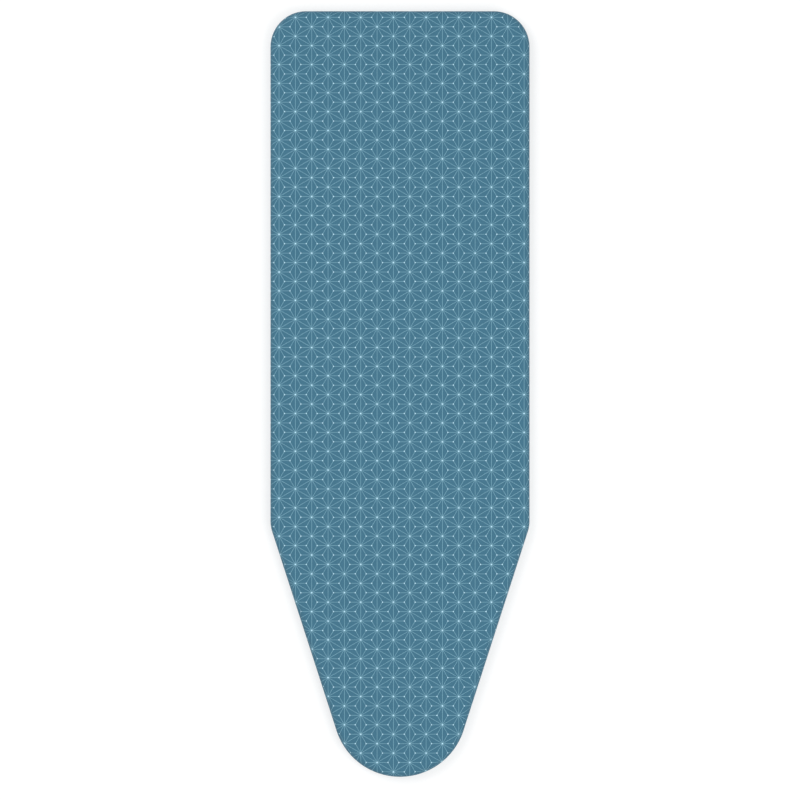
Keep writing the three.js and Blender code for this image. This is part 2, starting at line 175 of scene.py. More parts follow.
@dataclass(frozen=True)
class Plan:
    """Outline of the cover from above, and how it draws in from its edge to the hem."""

    half_width: float
    half_length: float
    height: float
    tail_corner_radius: float = 0.062
    shoulder_from_tail: float = 0.895
    shoulder_radius: float = 0.060
    nose_radius: float = 0.116
    top_edge_radius: float = 0.012
    rim_radius: float = 0.008
    rest_inset: float = 0.014
    hem_flat_inset: float = 0.054
    hem_inset: float = 0.070
    hem_corner_radius: float = 0.064
    hem_shoulder_radius: float = 0.090
    hem_nose_radius: float = 0.058
    hem_height: float = 0.0094
    corner_waves: int = 2
    nose_waves: int = 5
    tail_stations: int = 48
    corner_stations: int = 96
    side_stations: int = 375
    shoulder_stations: int = 16
    taper_stations: int = 130
    nose_stations: int = 76
    gathered_before: int = 30
    gathered_after: int = 16
    gathered_by_nose: int = 24

    @property
    def shoulder_y(self) -> float:
        """Where the side line would meet the taper line."""
        return self.half_length - self.shoulder_from_tail

    @property
    def taper_turn(self) -> float:
        """Angle to the long axis at which the taper is tangent to the nose."""
        across, along = self.half_width, self.shoulder_y - (self.nose_radius - self.half_length)
        return math.atan2(across, along) - math.asin(self.nose_radius / math.hypot(across, along))

    def radius_at(self, outer: float, at_hem: float, inset: float) -> float:
        """Radius of a curve at an inset: parallel to the edge at first, then eased to the hem."""
        share = max(0.0, inset - self.rest_inset) / (self.hem_inset - self.rest_inset)
        return outer - min(inset, self.rest_inset) + (at_hem - (outer - self.rest_inset)) * share

    def ring(self, inset: float) -> Outline:
        """The whole outline at a distance in from the edge.

        Args:
            inset: Distance in from the edge.

        Returns:
            The closed ring, clockwise from above, from the middle of the tail.
        """
        turn = self.taper_turn
        sine, cosine, lean = math.sin(turn), math.cos(turn), math.tan(turn / 2)
        corner = self.radius_at(self.tail_corner_radius, self.hem_corner_radius, inset)
        shoulder = self.radius_at(self.shoulder_radius, self.hem_shoulder_radius, inset)
        nose = self.radius_at(self.nose_radius, self.hem_nose_radius, inset)
        side = self.half_width - inset
        tail = self.half_length - inset
        bend = self.shoulder_y + inset * lean
        reach = shoulder * lean
        nose_y = (nose - (cosine * side - sine * bend)) / sine
        middle = (side - corner, tail - corner)
        taper_from = (side - reach * sine, bend - reach * cosine)
        taper_to = (nose * cosine, nose_y - nose * sine)
        right = Outline.joined(
            [
                Outline.line((0, tail), (side - corner, tail), self.tail_stations),
                Outline.arc(middle, corner, (QUARTER, 0), self.corner_stations, self.corner_waves),
                Outline.line((side, tail - corner), (side, bend + reach), self.side_stations),
                Outline.arc(
                    (side - shoulder, bend + reach), shoulder, (0, -turn), self.shoulder_stations
                ),
                Outline.line(taper_from, taper_to, self.taper_stations),
                Outline.arc(
                    (0, nose_y), nose, (-turn, -QUARTER), self.nose_stations, self.nose_waves, 0.5
                ),
                Outline(
                    np.array([[0.0, nose_y - nose]]),
                    np.array([[0.0, -1.0]]),
                    np.array([math.cos(math.pi * self.nose_waves)]),
                    np.ones(1),
                ),
            ]
        )
        return right.mirrored()

    def curves(self) -> list[np.ndarray]:
        """Where the cloth is gathered: the curves, and a little of the straights beside them.

        Returns:
            The numbers of the stations round the right corner, the left corner and the nose.
        """
        corner = np.arange(
            self.tail_stations - self.gathered_before,
            self.tail_stations + self.corner_stations + self.gathered_after,
        )
        half = self.tail_stations + self.corner_stations + self.side_stations
        half += self.shoulder_stations + self.taper_stations + self.nose_stations
        reach = self.nose_stations + self.gathered_by_nose
        return [corner, 2 * half - corner[::-1], np.arange(half - reach, half + reach + 1)]

    def flange_rise(self, inset: float) -> float:
        """How far the flange has risen to the hem, from 0 at the rest band to 1."""
        return float(smoothstep(inset, self.rest_inset, self.hem_flat_inset))

    def spine(self, ring: np.ndarray) -> np.ndarray:
        """The points of the long axis that a ring of the flat top is filled in towards."""
        nose_y, tail_y = self.nose_radius - self.half_length, self.half_length - self.half_width
        return np.column_stack([np.zeros(len(ring)), np.clip(ring[:, 1], nose_y, tail_y)])


@dataclass
class Gathers:
    """Pleats that the elastic draws into the flange, shared by cloth, tape and elastic."""

    plan: Plan
    wave_depth: float = 0.003
    straight_pitch: float = 0.0125
    curve_pitch: float = 0.0088
    straight_depth: float = 0.0007
    curve_depth: float = 0.0019
    straight_starts: Pair = (0.038, 0.050)
    curve_starts: Pair = (0.015, 0.034)
    pitch_spread: Pair = (0.7, 1.3)
    depth_spread: Pair = (0.5, 1.2)
    full_from: float = 0.25
    fade_length: float = 0.020
    still_half: float = 0.017
    still_fade: float = 0.018
    pucker_depth: float = 0.0014
    pucker_heights: Pair = (0.020, 0.003)
    pucker_insets: Pair = (0.010, 0.030)
    seed: int = 11
    along: np.ndarray = field(init=False)
    depth: np.ndarray = field(init=False)
    phase: np.ndarray = field(init=False)
    start: np.ndarray = field(init=False)
    wave: np.ndarray = field(init=False)
    fullness: np.ndarray = field(init=False)

    def __post_init__(self) -> None:
        """Lays the pleats out along the hem, closer and deeper where it curves."""
        hem = self.plan.ring(self.plan.hem_inset)
        self.along = length_along(ring_closed(hem.points))
        self.wave = hem.wave
        self.fullness = smoothstep(hem.fullness, 0.0, self.full_from)
        rng = np.random.default_rng(self.seed)
        places, depths, starts = [0.0], [], []
        while True:
            full = float(np.interp(places[-1], self.along[:-1], self.fullness))
            pitch = self.straight_pitch + (self.curve_pitch - self.straight_pitch) * full
            depth = self.straight_depth + (self.curve_depth - self.straight_depth) * full
            depths.append(depth * rng.uniform(*self.depth_spread))
            start = rng.uniform(*self.straight_starts) * (1 - full)
            starts.append(start + rng.uniform(*self.curve_starts) * full)
            following = places[-1] + pitch * rng.uniform(*self.pitch_spread)
            if following > self.along[-1] - pitch / 2:
                break
            places.append(following)
        knots = np.array([*places, self.along[-1]])
        here = self.along[:-1]
        self.phase = np.interp(here, knots, 2 * math.pi * np.arange(len(knots)))
        self.start = np.interp(here, knots, [*starts, starts[0]])
        free = np.ones(len(here))
        for place in Place:
            away = np.abs(hem.points[:, 1] - place.value)
            free *= smoothstep(away, self.still_half, self.still_half + self.still_fade)
        self.depth = np.interp(here, knots, [*depths, depths[0]]) * free

    @property
    def length(self) -> float:
        """Length of the hem."""
        return float(self.along[-1])

    def lift(self, inset: float) -> np.ndarray:
        """How far each station is raised or dropped from the smooth flange.

        Args:
            inset: Distance in from the edge.

        Returns:
            One height for each station of the ring.
        """
        drawn = smoothstep(inset, self.start, self.start + self.fade_length)
        slow = self.wave_depth * self.plan.flange_rise(inset) * self.wave
        return slow + self.depth * drawn * np.cos(self.phase)

    def pucker(self, insets: np.ndarray, heights: np.ndarray) -> np.ndarray:
        """How far the elastic draws in the foot of the skirt round the curves.

        Args:
            insets: Distance of each ring from the edge.
            heights: Height of each ring.

        Returns:
            How far each station moves inwards, by ring and station.
        """
        top, foot = self.pucker_heights
        share = smoothstep(-heights, -top, -foot) * (1 - smoothstep(insets, *self.pucker_insets))
        depth = self.pucker_depth * self.fullness * self.depth / self.curve_depth
        return share[:, None] * (depth * (0.5 + 0.5 * np.cos(self.phase)))

    def ring(self, inset: float, height: float) -> np.ndarray:
        """A ring of the hem or flange at an inset, with its pleats about a height."""
        points = self.plan.ring(inset).points
        return np.column_stack([points, height + self.lift(inset)])


def in_scene(name: str, data: bpy.types.ID) -> Piece:
    """A new object in the scene.

    Args:
        name: Its name.
        data: The mesh, lamp or camera that it shows.

    Returns:
        The object.
    """
    item = bpy.data.objects.new(name, data)
    bpy.context.scene.collection.objects.link(item)
    return item


def new_piece(name: str, points: np.ndarray, faces: Sequence[Sequence[int]]) -> Piece:
    """A smooth-shaded mesh in the scene.

    Args:
        name: Name of the piece.
        points: Its points.
        faces: The numbers of each face's points.

    Returns:
        The new object.
    """
    mesh = bpy.data.meshes.new(name)
    mesh.from_pydata(points.tolist(), [], faces)
    mesh.polygons.foreach_set("use_smooth", [True] * len(mesh.polygons))
    return in_scene(name, mesh)


def at_height(points: np.ndarray, height: float) -> np.ndarray:
    """Points of a plan, raised to one height."""
    return np.column_stack([points, np.full(len(points), height)])


def ring_closed(points: np.ndarray) -> np.ndarray:
    """A ring of points with its first one again at the end."""
    return np.vstack([points, points[:1]])


def length_along(path: np.ndarray) -> np.ndarray:
    """Length of a path up to each of its points."""
    return np.concatenate([[0.0], np.cumsum(np.linalg.norm(np.diff(path, axis=0), axis=1))])


def loft(name: str, rows: Sequence[np.ndarray], uv: np.ndarray, closed: bool = False) -> Piece:
    """A skin through rings of equal length.

    Args:
        name: Name of the piece.
        rows: Rings of points, clockwise from above and in order down the outside.
        uv: Cloth coordinates of every row and station, with one more station for the seam, and
            one more row where the section is closed.
        closed: Whether the last ring joins the first.

    Returns:
        The new object.
    """
    count = len(rows[0])
    strips = len(rows) if closed else len(rows) - 1
    row = np.arange(strips)[:, None]
    station = np.arange(count)[None, :]
    following = (station + 1) % count
    below = (row + 1) % len(rows)
    corners = [row * count + station, row * count + following]
    corners += [below * count + following, below * count + station]
    faces = np.stack(corners, axis=-1).reshape(-1, 4)
    cells = [uv[:-1, :-1], uv[:-1, 1:], uv[1:, 1:], uv[1:, :-1]]
    piece = new_piece(name, np.vstack(rows), faces.tolist())
    piece.data.uv_layers.new(name=CLOTH_UV).data.foreach_set(
        "uv", np.stack(cells, axis=2).reshape(-1).astype(np.float32)
    )
    return piece


@contextmanager
def all_in_edit_mode(piece: Piece) -> Iterator[None]:
    """Opens a piece in edit mode with all of it and nothing else selected, then closes it.

    Args:
        piece: The piece, which stays selected and active.

    Yields:
        Nothing, while edit mode is open.
    """
    bpy.ops.object.select_all(action="DESELECT")
    piece.select_set(True)
    bpy.context.view_layer.objects.active = piece
    bpy.ops.object.mode_set(mode="EDIT")
    bpy.ops.mesh.select_all(action="SELECT")
    yield
    bpy.ops.object.mode_set(mode="OBJECT")


def merge_doubles(piece: Piece) -> None:
    """Merges the points of a piece that lie in one place."""
    with all_in_edit_mode(piece):
        bpy.ops.mesh.remove_doubles(threshold=MERGE_DISTANCE)


def face_outwards(piece: Piece) -> None:
    """Turns every face of a closed piece outwards."""
    with all_in_edit_mode(piece):
        bpy.ops.mesh.normals_make_consistent(inside=False)


def attach(
    piece: Piece,
    materials: Sequence[Material],
    replaced: Sequence[str] = (),
    body: str = "cover",
) -> Piece:
    """Dresses a piece, sets it on its body and hides the nodes that it stands for.

    Args:
        piece: The finished piece.
        materials: What it is dressed in.
        replaced: The nodes that it stands for.
        body: The body it moves with.

    Returns:
        The same piece.
    """
    for material in materials:
        piece.data.materials.append(material)
    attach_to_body(piece, body)
    if replaced:
        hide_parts(*replaced)
    LOG.info("%s: %d faces on %s", piece.name, len(piece.data.polygons), body)
    return piece


def srgb(*channels: int) -> Colour:
    """Colour in linear light, with full alpha, of an 8-bit screen colour."""
    shares = np.array(channels) / 255
    return (*np.where(shares <= 0.04045, shares / 12.92, ((shares + 0.055) / 1.055) ** 2.4), 1.0)


def add_node(
    tree: bpy.types.NodeTree,
    kind: str,
    settings: dict[str, object] | None = None,
    inputs: dict[str | int, object] | None = None,
    output: str | int = 0,
) -> Value:
    """Adds a node.

    Args:
        tree: The nodes that it joins.
        kind: The node's type.
        settings: Its own settings, which are set first.
        inputs: Values or links of its sockets, by name or number.
        output: The socket that is handed on.

    Returns:
        The chosen output, which is empty on the output node.
    """
    node = tree.nodes.new(kind)
    for key, value in (settings or {}).items():
        setattr(node, key, value)
    for key, value in (inputs or {}).items():
        if isinstance(value, Value):
            tree.links.new(value.socket, node.inputs[key])
        else:
            node.inputs[key].default_value = value
    return Value(tree, node.outputs[output] if node.outputs else None)


def math_method(operation: str, swapped: bool = False) -> Callable[..., Value]:
    """A method of Value that adds one Math node.

    Args:
        operation: What the node does.
        swapped: Whether the value itself comes last, as where it stands right of an operator.

    Returns:
        The method, which takes the other terms.
    """

    def method(value: Value, *others: Value | float) -> Value:
        """Adds the node, with the value and the other terms."""
        terms = dict(enumerate((*others, value) if swapped else (value, *others)))
        return add_node(value.tree, "ShaderNodeMath", {"operation": operation}, terms)

    return method


@dataclass(frozen=True)
class Value:
    """A number or colour that varies over a surface. Operators on it add Math nodes."""

    tree: bpy.types.NodeTree
    socket: bpy.types.NodeSocket | None

    __add__ = __radd__ = math_method("ADD")
    __sub__ = math_method("SUBTRACT")
    __rsub__ = math_method("SUBTRACT", swapped=True)
    __mul__ = __rmul__ = math_method("MULTIPLY")
    __truediv__ = math_method("DIVIDE")
    __pow__ = math_method("POWER")
    fract = math_method("FRACT")
    floor = math_method("FLOOR")
    size = math_method("ABSOLUTE")
    sine = math_method("SINE")
    least = math_method("MINIMUM")
    most = math_method("MAXIMUM")
    above = math_method("GREATER_THAN")

    def within(self, edge: float, softness: float) -> Value:
        """1 below an edge, easing to 0 over a softness.

        Args:
            edge: Where it starts to fall.
            softness: How far it falls over.

        Returns:
            The eased mask.
        """
        ease = {"interpolation_type": "SMOOTHSTEP"}
        ends = {"From Min": edge, "From Max": edge + softness, "To Min": 1.0, "To Max": 0.0}
        return add_node(self.tree, "ShaderNodeMapRange", ease, {"Value": self, **ends})


@dataclass(frozen=True)
class Response:
    """How a property follows what varies: a base, and how much each value adds to it."""

    base: float
    gains: tuple[float, ...]

    def to(self, *values: Value) -> Value:
        """The base plus each value times its gain."""
        return sum((value * gain for value, gain in zip(values, self.gains)), self.base)


@dataclass(frozen=True)
class Grain:
    """A soft random texture: its waves in a metre, its octaves and how far it is warped."""

    scale: float
    detail: float = 2.0
    distortion: float = 0.0


class MaterialMaker:
    """Builds the nodes of one material."""

    def __init__(self, name: str) -> None:
        """Starts an empty material.

        Args:
            name: Name of the material.
        """
        self.material = bpy.data.materials.new(name)
        self.material.use_nodes = True
        self.tree = self.material.node_tree
        self.tree.nodes.clear()
        self.node = partial(add_node, self.tree)

    def cloth_point(self) -> Value:
        """The piece's own cloth coordinates, in metres."""
        return self.node("ShaderNodeUVMap", {"uv_map": CLOTH_UV})

    def object_point(self) -> Value:
        """Place in the object's own frame, in metres."""
        return self.node("ShaderNodeTexCoord", output="Object")

    def parts(self, vector: Value) -> tuple[Value, ...]:
        """The three numbers of a vector."""
        outputs = self.node("ShaderNodeSeparateXYZ", inputs={0: vector}).socket.node.outputs
        return tuple(Value(self.tree, output) for output in outputs)

    def noise(self, point: Value, grain: Grain) -> Value:
        """Soft noise from 0 to 1, at a point in metres."""
        inputs = {"Vector": point, "Scale": grain.scale, "Detail": grain.detail}
        return self.node("ShaderNodeTexNoise", {}, {**inputs, "Distortion": grain.distortion})

    def contour(self, point: Value, grain: Grain, level: float, line: Pair) -> Value:
        """Cover of the crooked lines where noise passes a level, by their width and softness."""
        return (self.noise(point, grain) - level).size().within(*line)

    def blend(self, share: Value | float, first: object, second: object) -> Value:
        """A colour between two, the first at a share of 0 and the second at 1."""
        return self.node("ShaderNodeMix", {"data_type": "RGBA"}, {0: share, 6: first, 7: second}, 2)

    def shaded(self, colour: Value | Colour, shade: Value) -> Value:
        """A colour times a number, where 1 leaves it as it stands."""
        start = colour if isinstance(colour, Value) else colour[:3]
        return self.node("ShaderNodeVectorMath", {"operation": "SCALE"}, {0: start, 3: shade})

    def bump(self, height: Value, depth: float, normal: Value | None = None) -> Value:
        """Relief from a height, where 1 stands for a depth in metres, over another relief."""
        base = {} if normal is None else {"Normal": normal}
        return self.node("ShaderNodeBump", {}, {"Height": height, "Distance": depth, **base})

    def surface(
        self,
        colour: Value,
        roughness: Value | float,
        normal: Value,
        specular: float = 0.5,
        sheen: float = 0.0,
        metallic: float = 0.0,
    ) -> Material:
        """Closes the material with one principled shader.

        Args:
            colour: Its colour.
            roughness: How matt it is.
            normal: Its relief.
            specular: How strongly it shines, 0.5 as most plastics do.
            sheen: How strongly its fibres glow at a low angle.
            metallic: 1 on bare metal.

        Returns:
            The finished material.
        """
        sockets = {"Base Color": colour, "Roughness": roughness, "Normal": normal}
        sockets |= {"Specular IOR Level": specular, "Sheen Weight": sheen, "Metallic": metallic}
        shader = self.node("ShaderNodeBsdfPrincipled", {}, sockets)
        self.node("ShaderNodeOutputMaterial", {}, {"Surface": shader})
        return self.material


@dataclass(frozen=True)
class PlainWeave:
    """Round threads, each over one and under the next."""

    pitch: float
    lift: Response = Response(0.55, (0.45,))

    def height(self, across: Value, along: Value) -> Value:
        """Relief of the threads.

        Args:
            across: Cloth coordinate across the warp, in metres.
            along: Cloth coordinate along it.

        Returns:
            The relief, from 0 between the threads to 1 on top of one.
        """
        column, row = across / self.pitch, along / self.pitch
        warp = (column * math.pi).sine().size()
        weft = (row * math.pi).sine().size()
        warp_on_top = ((column.floor() + row.floor()) * 0.5).fract() * 2
        over = warp * self.lift.to(weft)
        under = weft * self.lift.to(warp)
        return over * warp_on_top + under * (1 - warp_on_top)


@dataclass(frozen=True)
class HempLeaf:
    """The traditional hemp-leaf lattice: triangles, each split from its middle to its corners."""

    side: float = 0.0327
    star_at: Pair = (-0.0114, -0.0011)
    line_width: float = 0.00036
    star_dot: float = 0.0021
    leaf_dot: float = 0.0019
    softness: float = 0.0001

    def ink(self, x: Value, y: Value) -> tuple[Value, Value]:
        """Where the lines and the dots are printed.

        Args:
            x: Cloth coordinate across the cover, in metres.
            y: Cloth coordinate along it.

        Returns:
            The cover of the lines and that of the dots, from 0 to 1.
        """
        height = self.side * math.sqrt(3) / 2
        across = (x - self.star_at[0]) / height
        rising = (y - self.star_at[1]) / self.side - across * 0.5
        falling = (across + rising) * -1
        parts = [direction.fract() for direction in (across, rising, falling)]
        points_down = (parts[0] + parts[1] + parts[2]).above(1.5)
        first, second, third = (part + points_down * (1 - part * 2) for part in parts)
        largest = first.most(second).most(third)
        least = first.least(second).least(third)
        middle = 1 - largest - least
        edge = least * height
        ray = (middle - least) * (self.side / 2)
        to_star = ((1 - largest) * height) ** 2 + ray**2
        to_leaf = ((largest - 1 / 3) * height) ** 2 + ray**2
        half = self.line_width / 2
        lines = edge.within(half, self.softness).most(ray.within(half, self.softness))
        stars = (to_star**0.5).within(self.star_dot / 2, self.softness)
        leaves = (to_leaf**0.5).within(self.leaf_dot / 2, self.softness)
        return lines, stars.most(leaves)


@dataclass(frozen=True)
class PrintedCotton:
    """Plain-weave cotton with a pale print on a dusty blue ground."""

    face: ClothFace
    ground: Colour = srgb(65, 114, 137)
    line: Colour = srgb(150, 199, 217)
    dot: Colour = srgb(202, 238, 255)
    unprinted: Colour = srgb(196, 208, 212)
    line_ink: float = 0.9
    dot_ink: float = 0.95
    worn_ink: Response = Response(0.86, (0.28,))
    strike_through: float = 0.38
    pattern: HempLeaf = HempLeaf()
    weave: PlainWeave = PlainWeave(0.00042)
    thread_depth: float = 0.00012
    slub: Grain = Grain(420, 3)
    wash: Grain = Grain(7)
    softness: Grain = Grain(22)
    softness_depth: float = 0.00035
    # Painted shade: the first gain darkens the colour between the threads; slub and wash vary the
    # tone at random.
    shade: Response = Response(0.872, (0.19, 0.07, 0.03))
    roughness: Response = Response(0.82, (0.12,))
    specular: float = 0.25
    sheen: float = 0.08

    def material(self) -> Material:
        """The cloth's print side, or the paler side that shows only what strikes through.

        Returns:
            The material.
        """
        maker = MaterialMaker(f"cotton_{self.face.name.lower()}")
        point = maker.cloth_point()
        x, y, _ = maker.parts(point)
        lines, dots = self.pattern.ink(x, y)
        threads = self.weave.height(x, y)
        slub, wash = maker.noise(point, self.slub), maker.noise(point, self.wash)
        ink = lines * self.worn_ink.to(slub) * self.line_ink
        colour = maker.blend(ink, self.ground, self.line)
        colour = maker.blend(dots * self.dot_ink, colour, self.dot)
        if self.face is ClothFace.WRONG_SIDE:
            colour = maker.blend(self.strike_through, self.unprinted, colour)
        # Painted shade between the threads, with random tone from the slub and the wash.
        colour = maker.shaded(colour, self.shade.to(threads, slub, wash))
        relief = maker.bump(maker.noise(point, self.softness), self.softness_depth)
        normal = maker.bump(threads, self.thread_depth, relief)
        return maker.surface(colour, self.roughness.to(slub), normal, self.specular, self.sheen)


@dataclass(frozen=True)
class NeedledFelt:
    """Grey recycled felt, with stray fibres lighter and darker than its ground."""

    ground: Colour = srgb(196, 194, 189)
    deep: Colour = srgb(168, 166, 163)
    pale_fibre: Colour = srgb(226, 225, 220)
    dark_fibre: Colour = srgb(112, 114, 120)
    cloud: Grain = Grain(38, 4, 0.6)
    tangle: Grain = Grain(520, 5, 1.5)
    pale_path: Grain = Grain(150, 2, 2.2)
    dark_path: Grain = Grain(85, 2, 2.6)
    pale_line: Pair = (0.003, 0.007)
    dark_line: Pair = (0.0012, 0.003)
    pale_level: float = 0.5
    dark_level: float = 0.44
    pale_cover: float = 0.55
    dark_cover: float = 0.6
    cloud_depth: float = 0.0009
    fibre_depth: float = 0.00045
    fibre_rise: float = 0.4
    shade: Response = Response(0.86, (0.28,))
    roughness: float = 0.96
    specular: float = 0.1
    sheen: float = 0.15

    def material(self) -> Material:
        """Felt whose fibres are the contour lines of warped noise.

        Returns:
            The material.
        """
        maker = MaterialMaker("felt")
        point = maker.object_point()
        cloud, tangle = maker.noise(point, self.cloud), maker.noise(point, self.tangle)
        pale = maker.contour(point, self.pale_path, self.pale_level, self.pale_line)
        dark = maker.contour(point, self.dark_path, self.dark_level, self.dark_line)
        colour = maker.blend(cloud, self.deep, self.ground)
        colour = maker.blend(pale * self.pale_cover, colour, self.pale_fibre)
        colour = maker.blend(dark * self.dark_cover, colour, self.dark_fibre)
        colour = maker.shaded(colour, self.shade.to(tangle))
        relief = maker.bump(cloud, self.cloud_depth)
        normal = maker.bump(tangle + pale * self.fibre_rise, self.fibre_depth, relief)
        return maker.surface(colour, self.roughness, normal, self.specular, self.sheen)


@dataclass(frozen=True)
class OpenCellFoam:
    """Off-white polyether foam with small open cells."""

    skin: Colour = srgb(236, 233, 222)
    # Painted shade: the darker colour deep in each open cell.
    pore_shade: Colour = srgb(176, 171, 157)
    cells_per_metre: float = 1100
    cell_contrast: float = 1.3
    cell_depth: float = 0.0004
    roughness: float = 0.95

    def material(self) -> Material:
        """Foam with a cell pattern in its relief, and painted shade in its pits.

        Returns:
            The material.
        """
        maker = MaterialMaker("foam")
        inputs = {"Vector": maker.object_point(), "Scale": self.cells_per_metre}
        cell = maker.node("ShaderNodeTexVoronoi", {"feature": "F1"}, inputs, "Distance")
        # Painted shade: each cell darkens towards its pit, where the relief is lowest.
        colour = maker.blend((cell * self.cell_contrast).least(1.0), self.pore_shade, self.skin)
        return maker.surface(colour, self.roughness, maker.bump(cell, self.cell_depth))


@dataclass(frozen=True)
class BiasTape:
    """Dark blue cotton tape, cut on the bias, dimpled along its seam."""

    ground: Colour = srgb(51, 94, 115)
    rib_pitch: float = 0.0007
    rib_depth: float = 0.0001
    slub: Grain = Grain(650, 3)
    seam_v: Pair = (0.0130, 0.0380)
    seam_line: Pair = (0.0003, 0.0035)
    stitch_pitch: float = 0.0040
    dimple_depth: float = 0.00025
    # Painted shade: the first gain darkens the colour between the ribs; the second varies the tone
    # at random with the slub.
    shade: Response = Response(0.78, (0.20, 0.24))
    roughness: float = 0.85
    specular: float = 0.25
    sheen: float = 0.1

    def material(self) -> Material:
        """Tape with slanting ribs, painted shade between them, and small puckers where it is sewn.

        Returns:
            The material.
        """
        maker = MaterialMaker("hem_tape")
        point = maker.cloth_point()
        along, across, _ = maker.parts(point)
        ribs = ((along + across) * (math.pi / self.rib_pitch)).sine().size()
        slub = maker.noise(point, self.slub)
        below, above = ((across - v).size() for v in self.seam_v)
        pull = below.least(above).within(*self.seam_line)
        pucker = (along * (2 * math.pi / self.stitch_pitch)).sine() * pull
        normal = maker.bump(ribs, self.rib_depth, maker.bump(pucker - pull, self.dimple_depth))
        # Painted shade between the ribs, with random tone from the slub.
        colour = maker.shaded(self.ground, self.shade.to(ribs, slub))
        return maker.surface(colour, self.roughness, normal, self.specular, self.sheen)


@dataclass(frozen=True)
class RibbedWebbing:
    """Woven elastic with lengthwise cords under a fine crosswise weft."""

    name: str
    yarn: Colour
    # Painted shade: a darker colour for the low parts between the cords and under the weft.
    groove_shade: Colour
    cord_pitch: float
    weft_pitch: float
    depth: float = 0.00018
    fuzz: Grain = Grain(900, 3)
    lift: Response = Response(0.7, (0.3,))
    shade: Response = Response(0.9, (0.2,))
    roughness: float = 0.8
    specular: float = 0.3
    sheen: float = 0.1

    def material(self) -> Material:
        """Webbing whose ribs follow its length, with painted shade in its grooves.

        Returns:
            The material.
        """
        maker = MaterialMaker(self.name)
        point = maker.cloth_point()
        along, across, _ = maker.parts(point)
        cord = (across * (math.pi / self.cord_pitch)).sine().size()
        weft = (along * (math.pi / self.weft_pitch)).sine().size()
        height = cord * self.lift.to(weft)
        # Painted shade: the low parts of the weave take the darker groove colour.
        colour = maker.blend(height**0.5, self.groove_shade, self.yarn)
        colour = maker.shaded(colour, self.shade.to(maker.noise(point, self.fuzz)))
        normal = maker.bump(height, self.depth)
        return maker.surface(colour, self.roughness, normal, self.specular, self.sheen)


@dataclass(frozen=True)
class SewingThread:
    """Spun polyester thread."""

    name: str
    colour: Colour
    fuzz: Grain = Grain(4000, 3)
    fuzz_depth: float = 0.00006
    shade: Response = Response(0.85, (0.3,))
    roughness: float = 0.6
    sheen: float = 0.1

    def material(self) -> Material:
        """Thread with a soft fuzz.

        Returns:
            The material.
        """
        maker = MaterialMaker(self.name)
        fuzz = maker.noise(maker.object_point(), self.fuzz)
        colour = maker.shaded(self.colour, self.shade.to(fuzz))
        normal = maker.bump(fuzz, self.fuzz_depth)
        return maker.surface(colour, self.roughness, normal, sheen=self.sheen)


@dataclass(frozen=True)
class NickelPlate:
    """Bright nickel over tumbled sheet steel."""

    bright: Colour = srgb(226, 224, 219)
    dull: Colour = srgb(160, 157, 151)
    patch: Grain = Grain(240, 3, 0.4)
    scratch: Grain = Grain(900, 2, 1.8)
    scratch_level: float = 0.5
    scratch_line: Pair = (0.004, 0.014)
    scratch_rise: float = 0.6
    orange_peel: Grain = Grain(2600)
    relief_depth: float = 0.000012
    tarnish_from: float = 0.55
    tarnish_contrast: float = 3.0
    roughness: Response = Response(0.20, (0.16, 0.14))

    def material(self) -> Material:
        """Plate with tumbling marks, fine scuffs and a few dull patches.

        Returns:
            The material.
        """
        maker = MaterialMaker("nickel_plate")
        point = maker.object_point()
        patch = maker.noise(point, self.patch)
        scuff = maker.contour(point, self.scratch, self.scratch_level, self.scratch_line)
        tarnish = ((patch - self.tarnish_from).most(0.0) * self.tarnish_contrast).least(1.0)
        colour = maker.blend(tarnish, self.bright, self.dull)
        relief = maker.noise(point, self.orange_peel) + scuff * self.scratch_rise
        normal = maker.bump(relief, self.relief_depth)
        return maker.surface(colour, self.roughness.to(patch, scuff), normal, metallic=1.0)


@dataclass(frozen=True)
class MouldedNylon:
    """White injection-moulded nylon."""

    colour: Colour = srgb(240, 238, 230)
    grain: Grain = Grain(3200)
    haze: Grain = Grain(160)
    grain_depth: float = 0.00001
    shade: Response = Response(0.95, (0.07,))
    roughness: Response = Response(0.38, (0.16,))

    def material(self) -> Material:
        """Nylon with a faint spark-eroded texture.

        Returns:
            The material.
        """
        maker = MaterialMaker("moulded_nylon")
        point = maker.object_point()
        grain = maker.noise(point, self.grain)
        colour = maker.shaded(self.colour, self.shade.to(maker.noise(point, self.haze)))
        normal = maker.bump(grain, self.grain_depth)
        return maker.surface(colour, self.roughness.to(grain), normal)


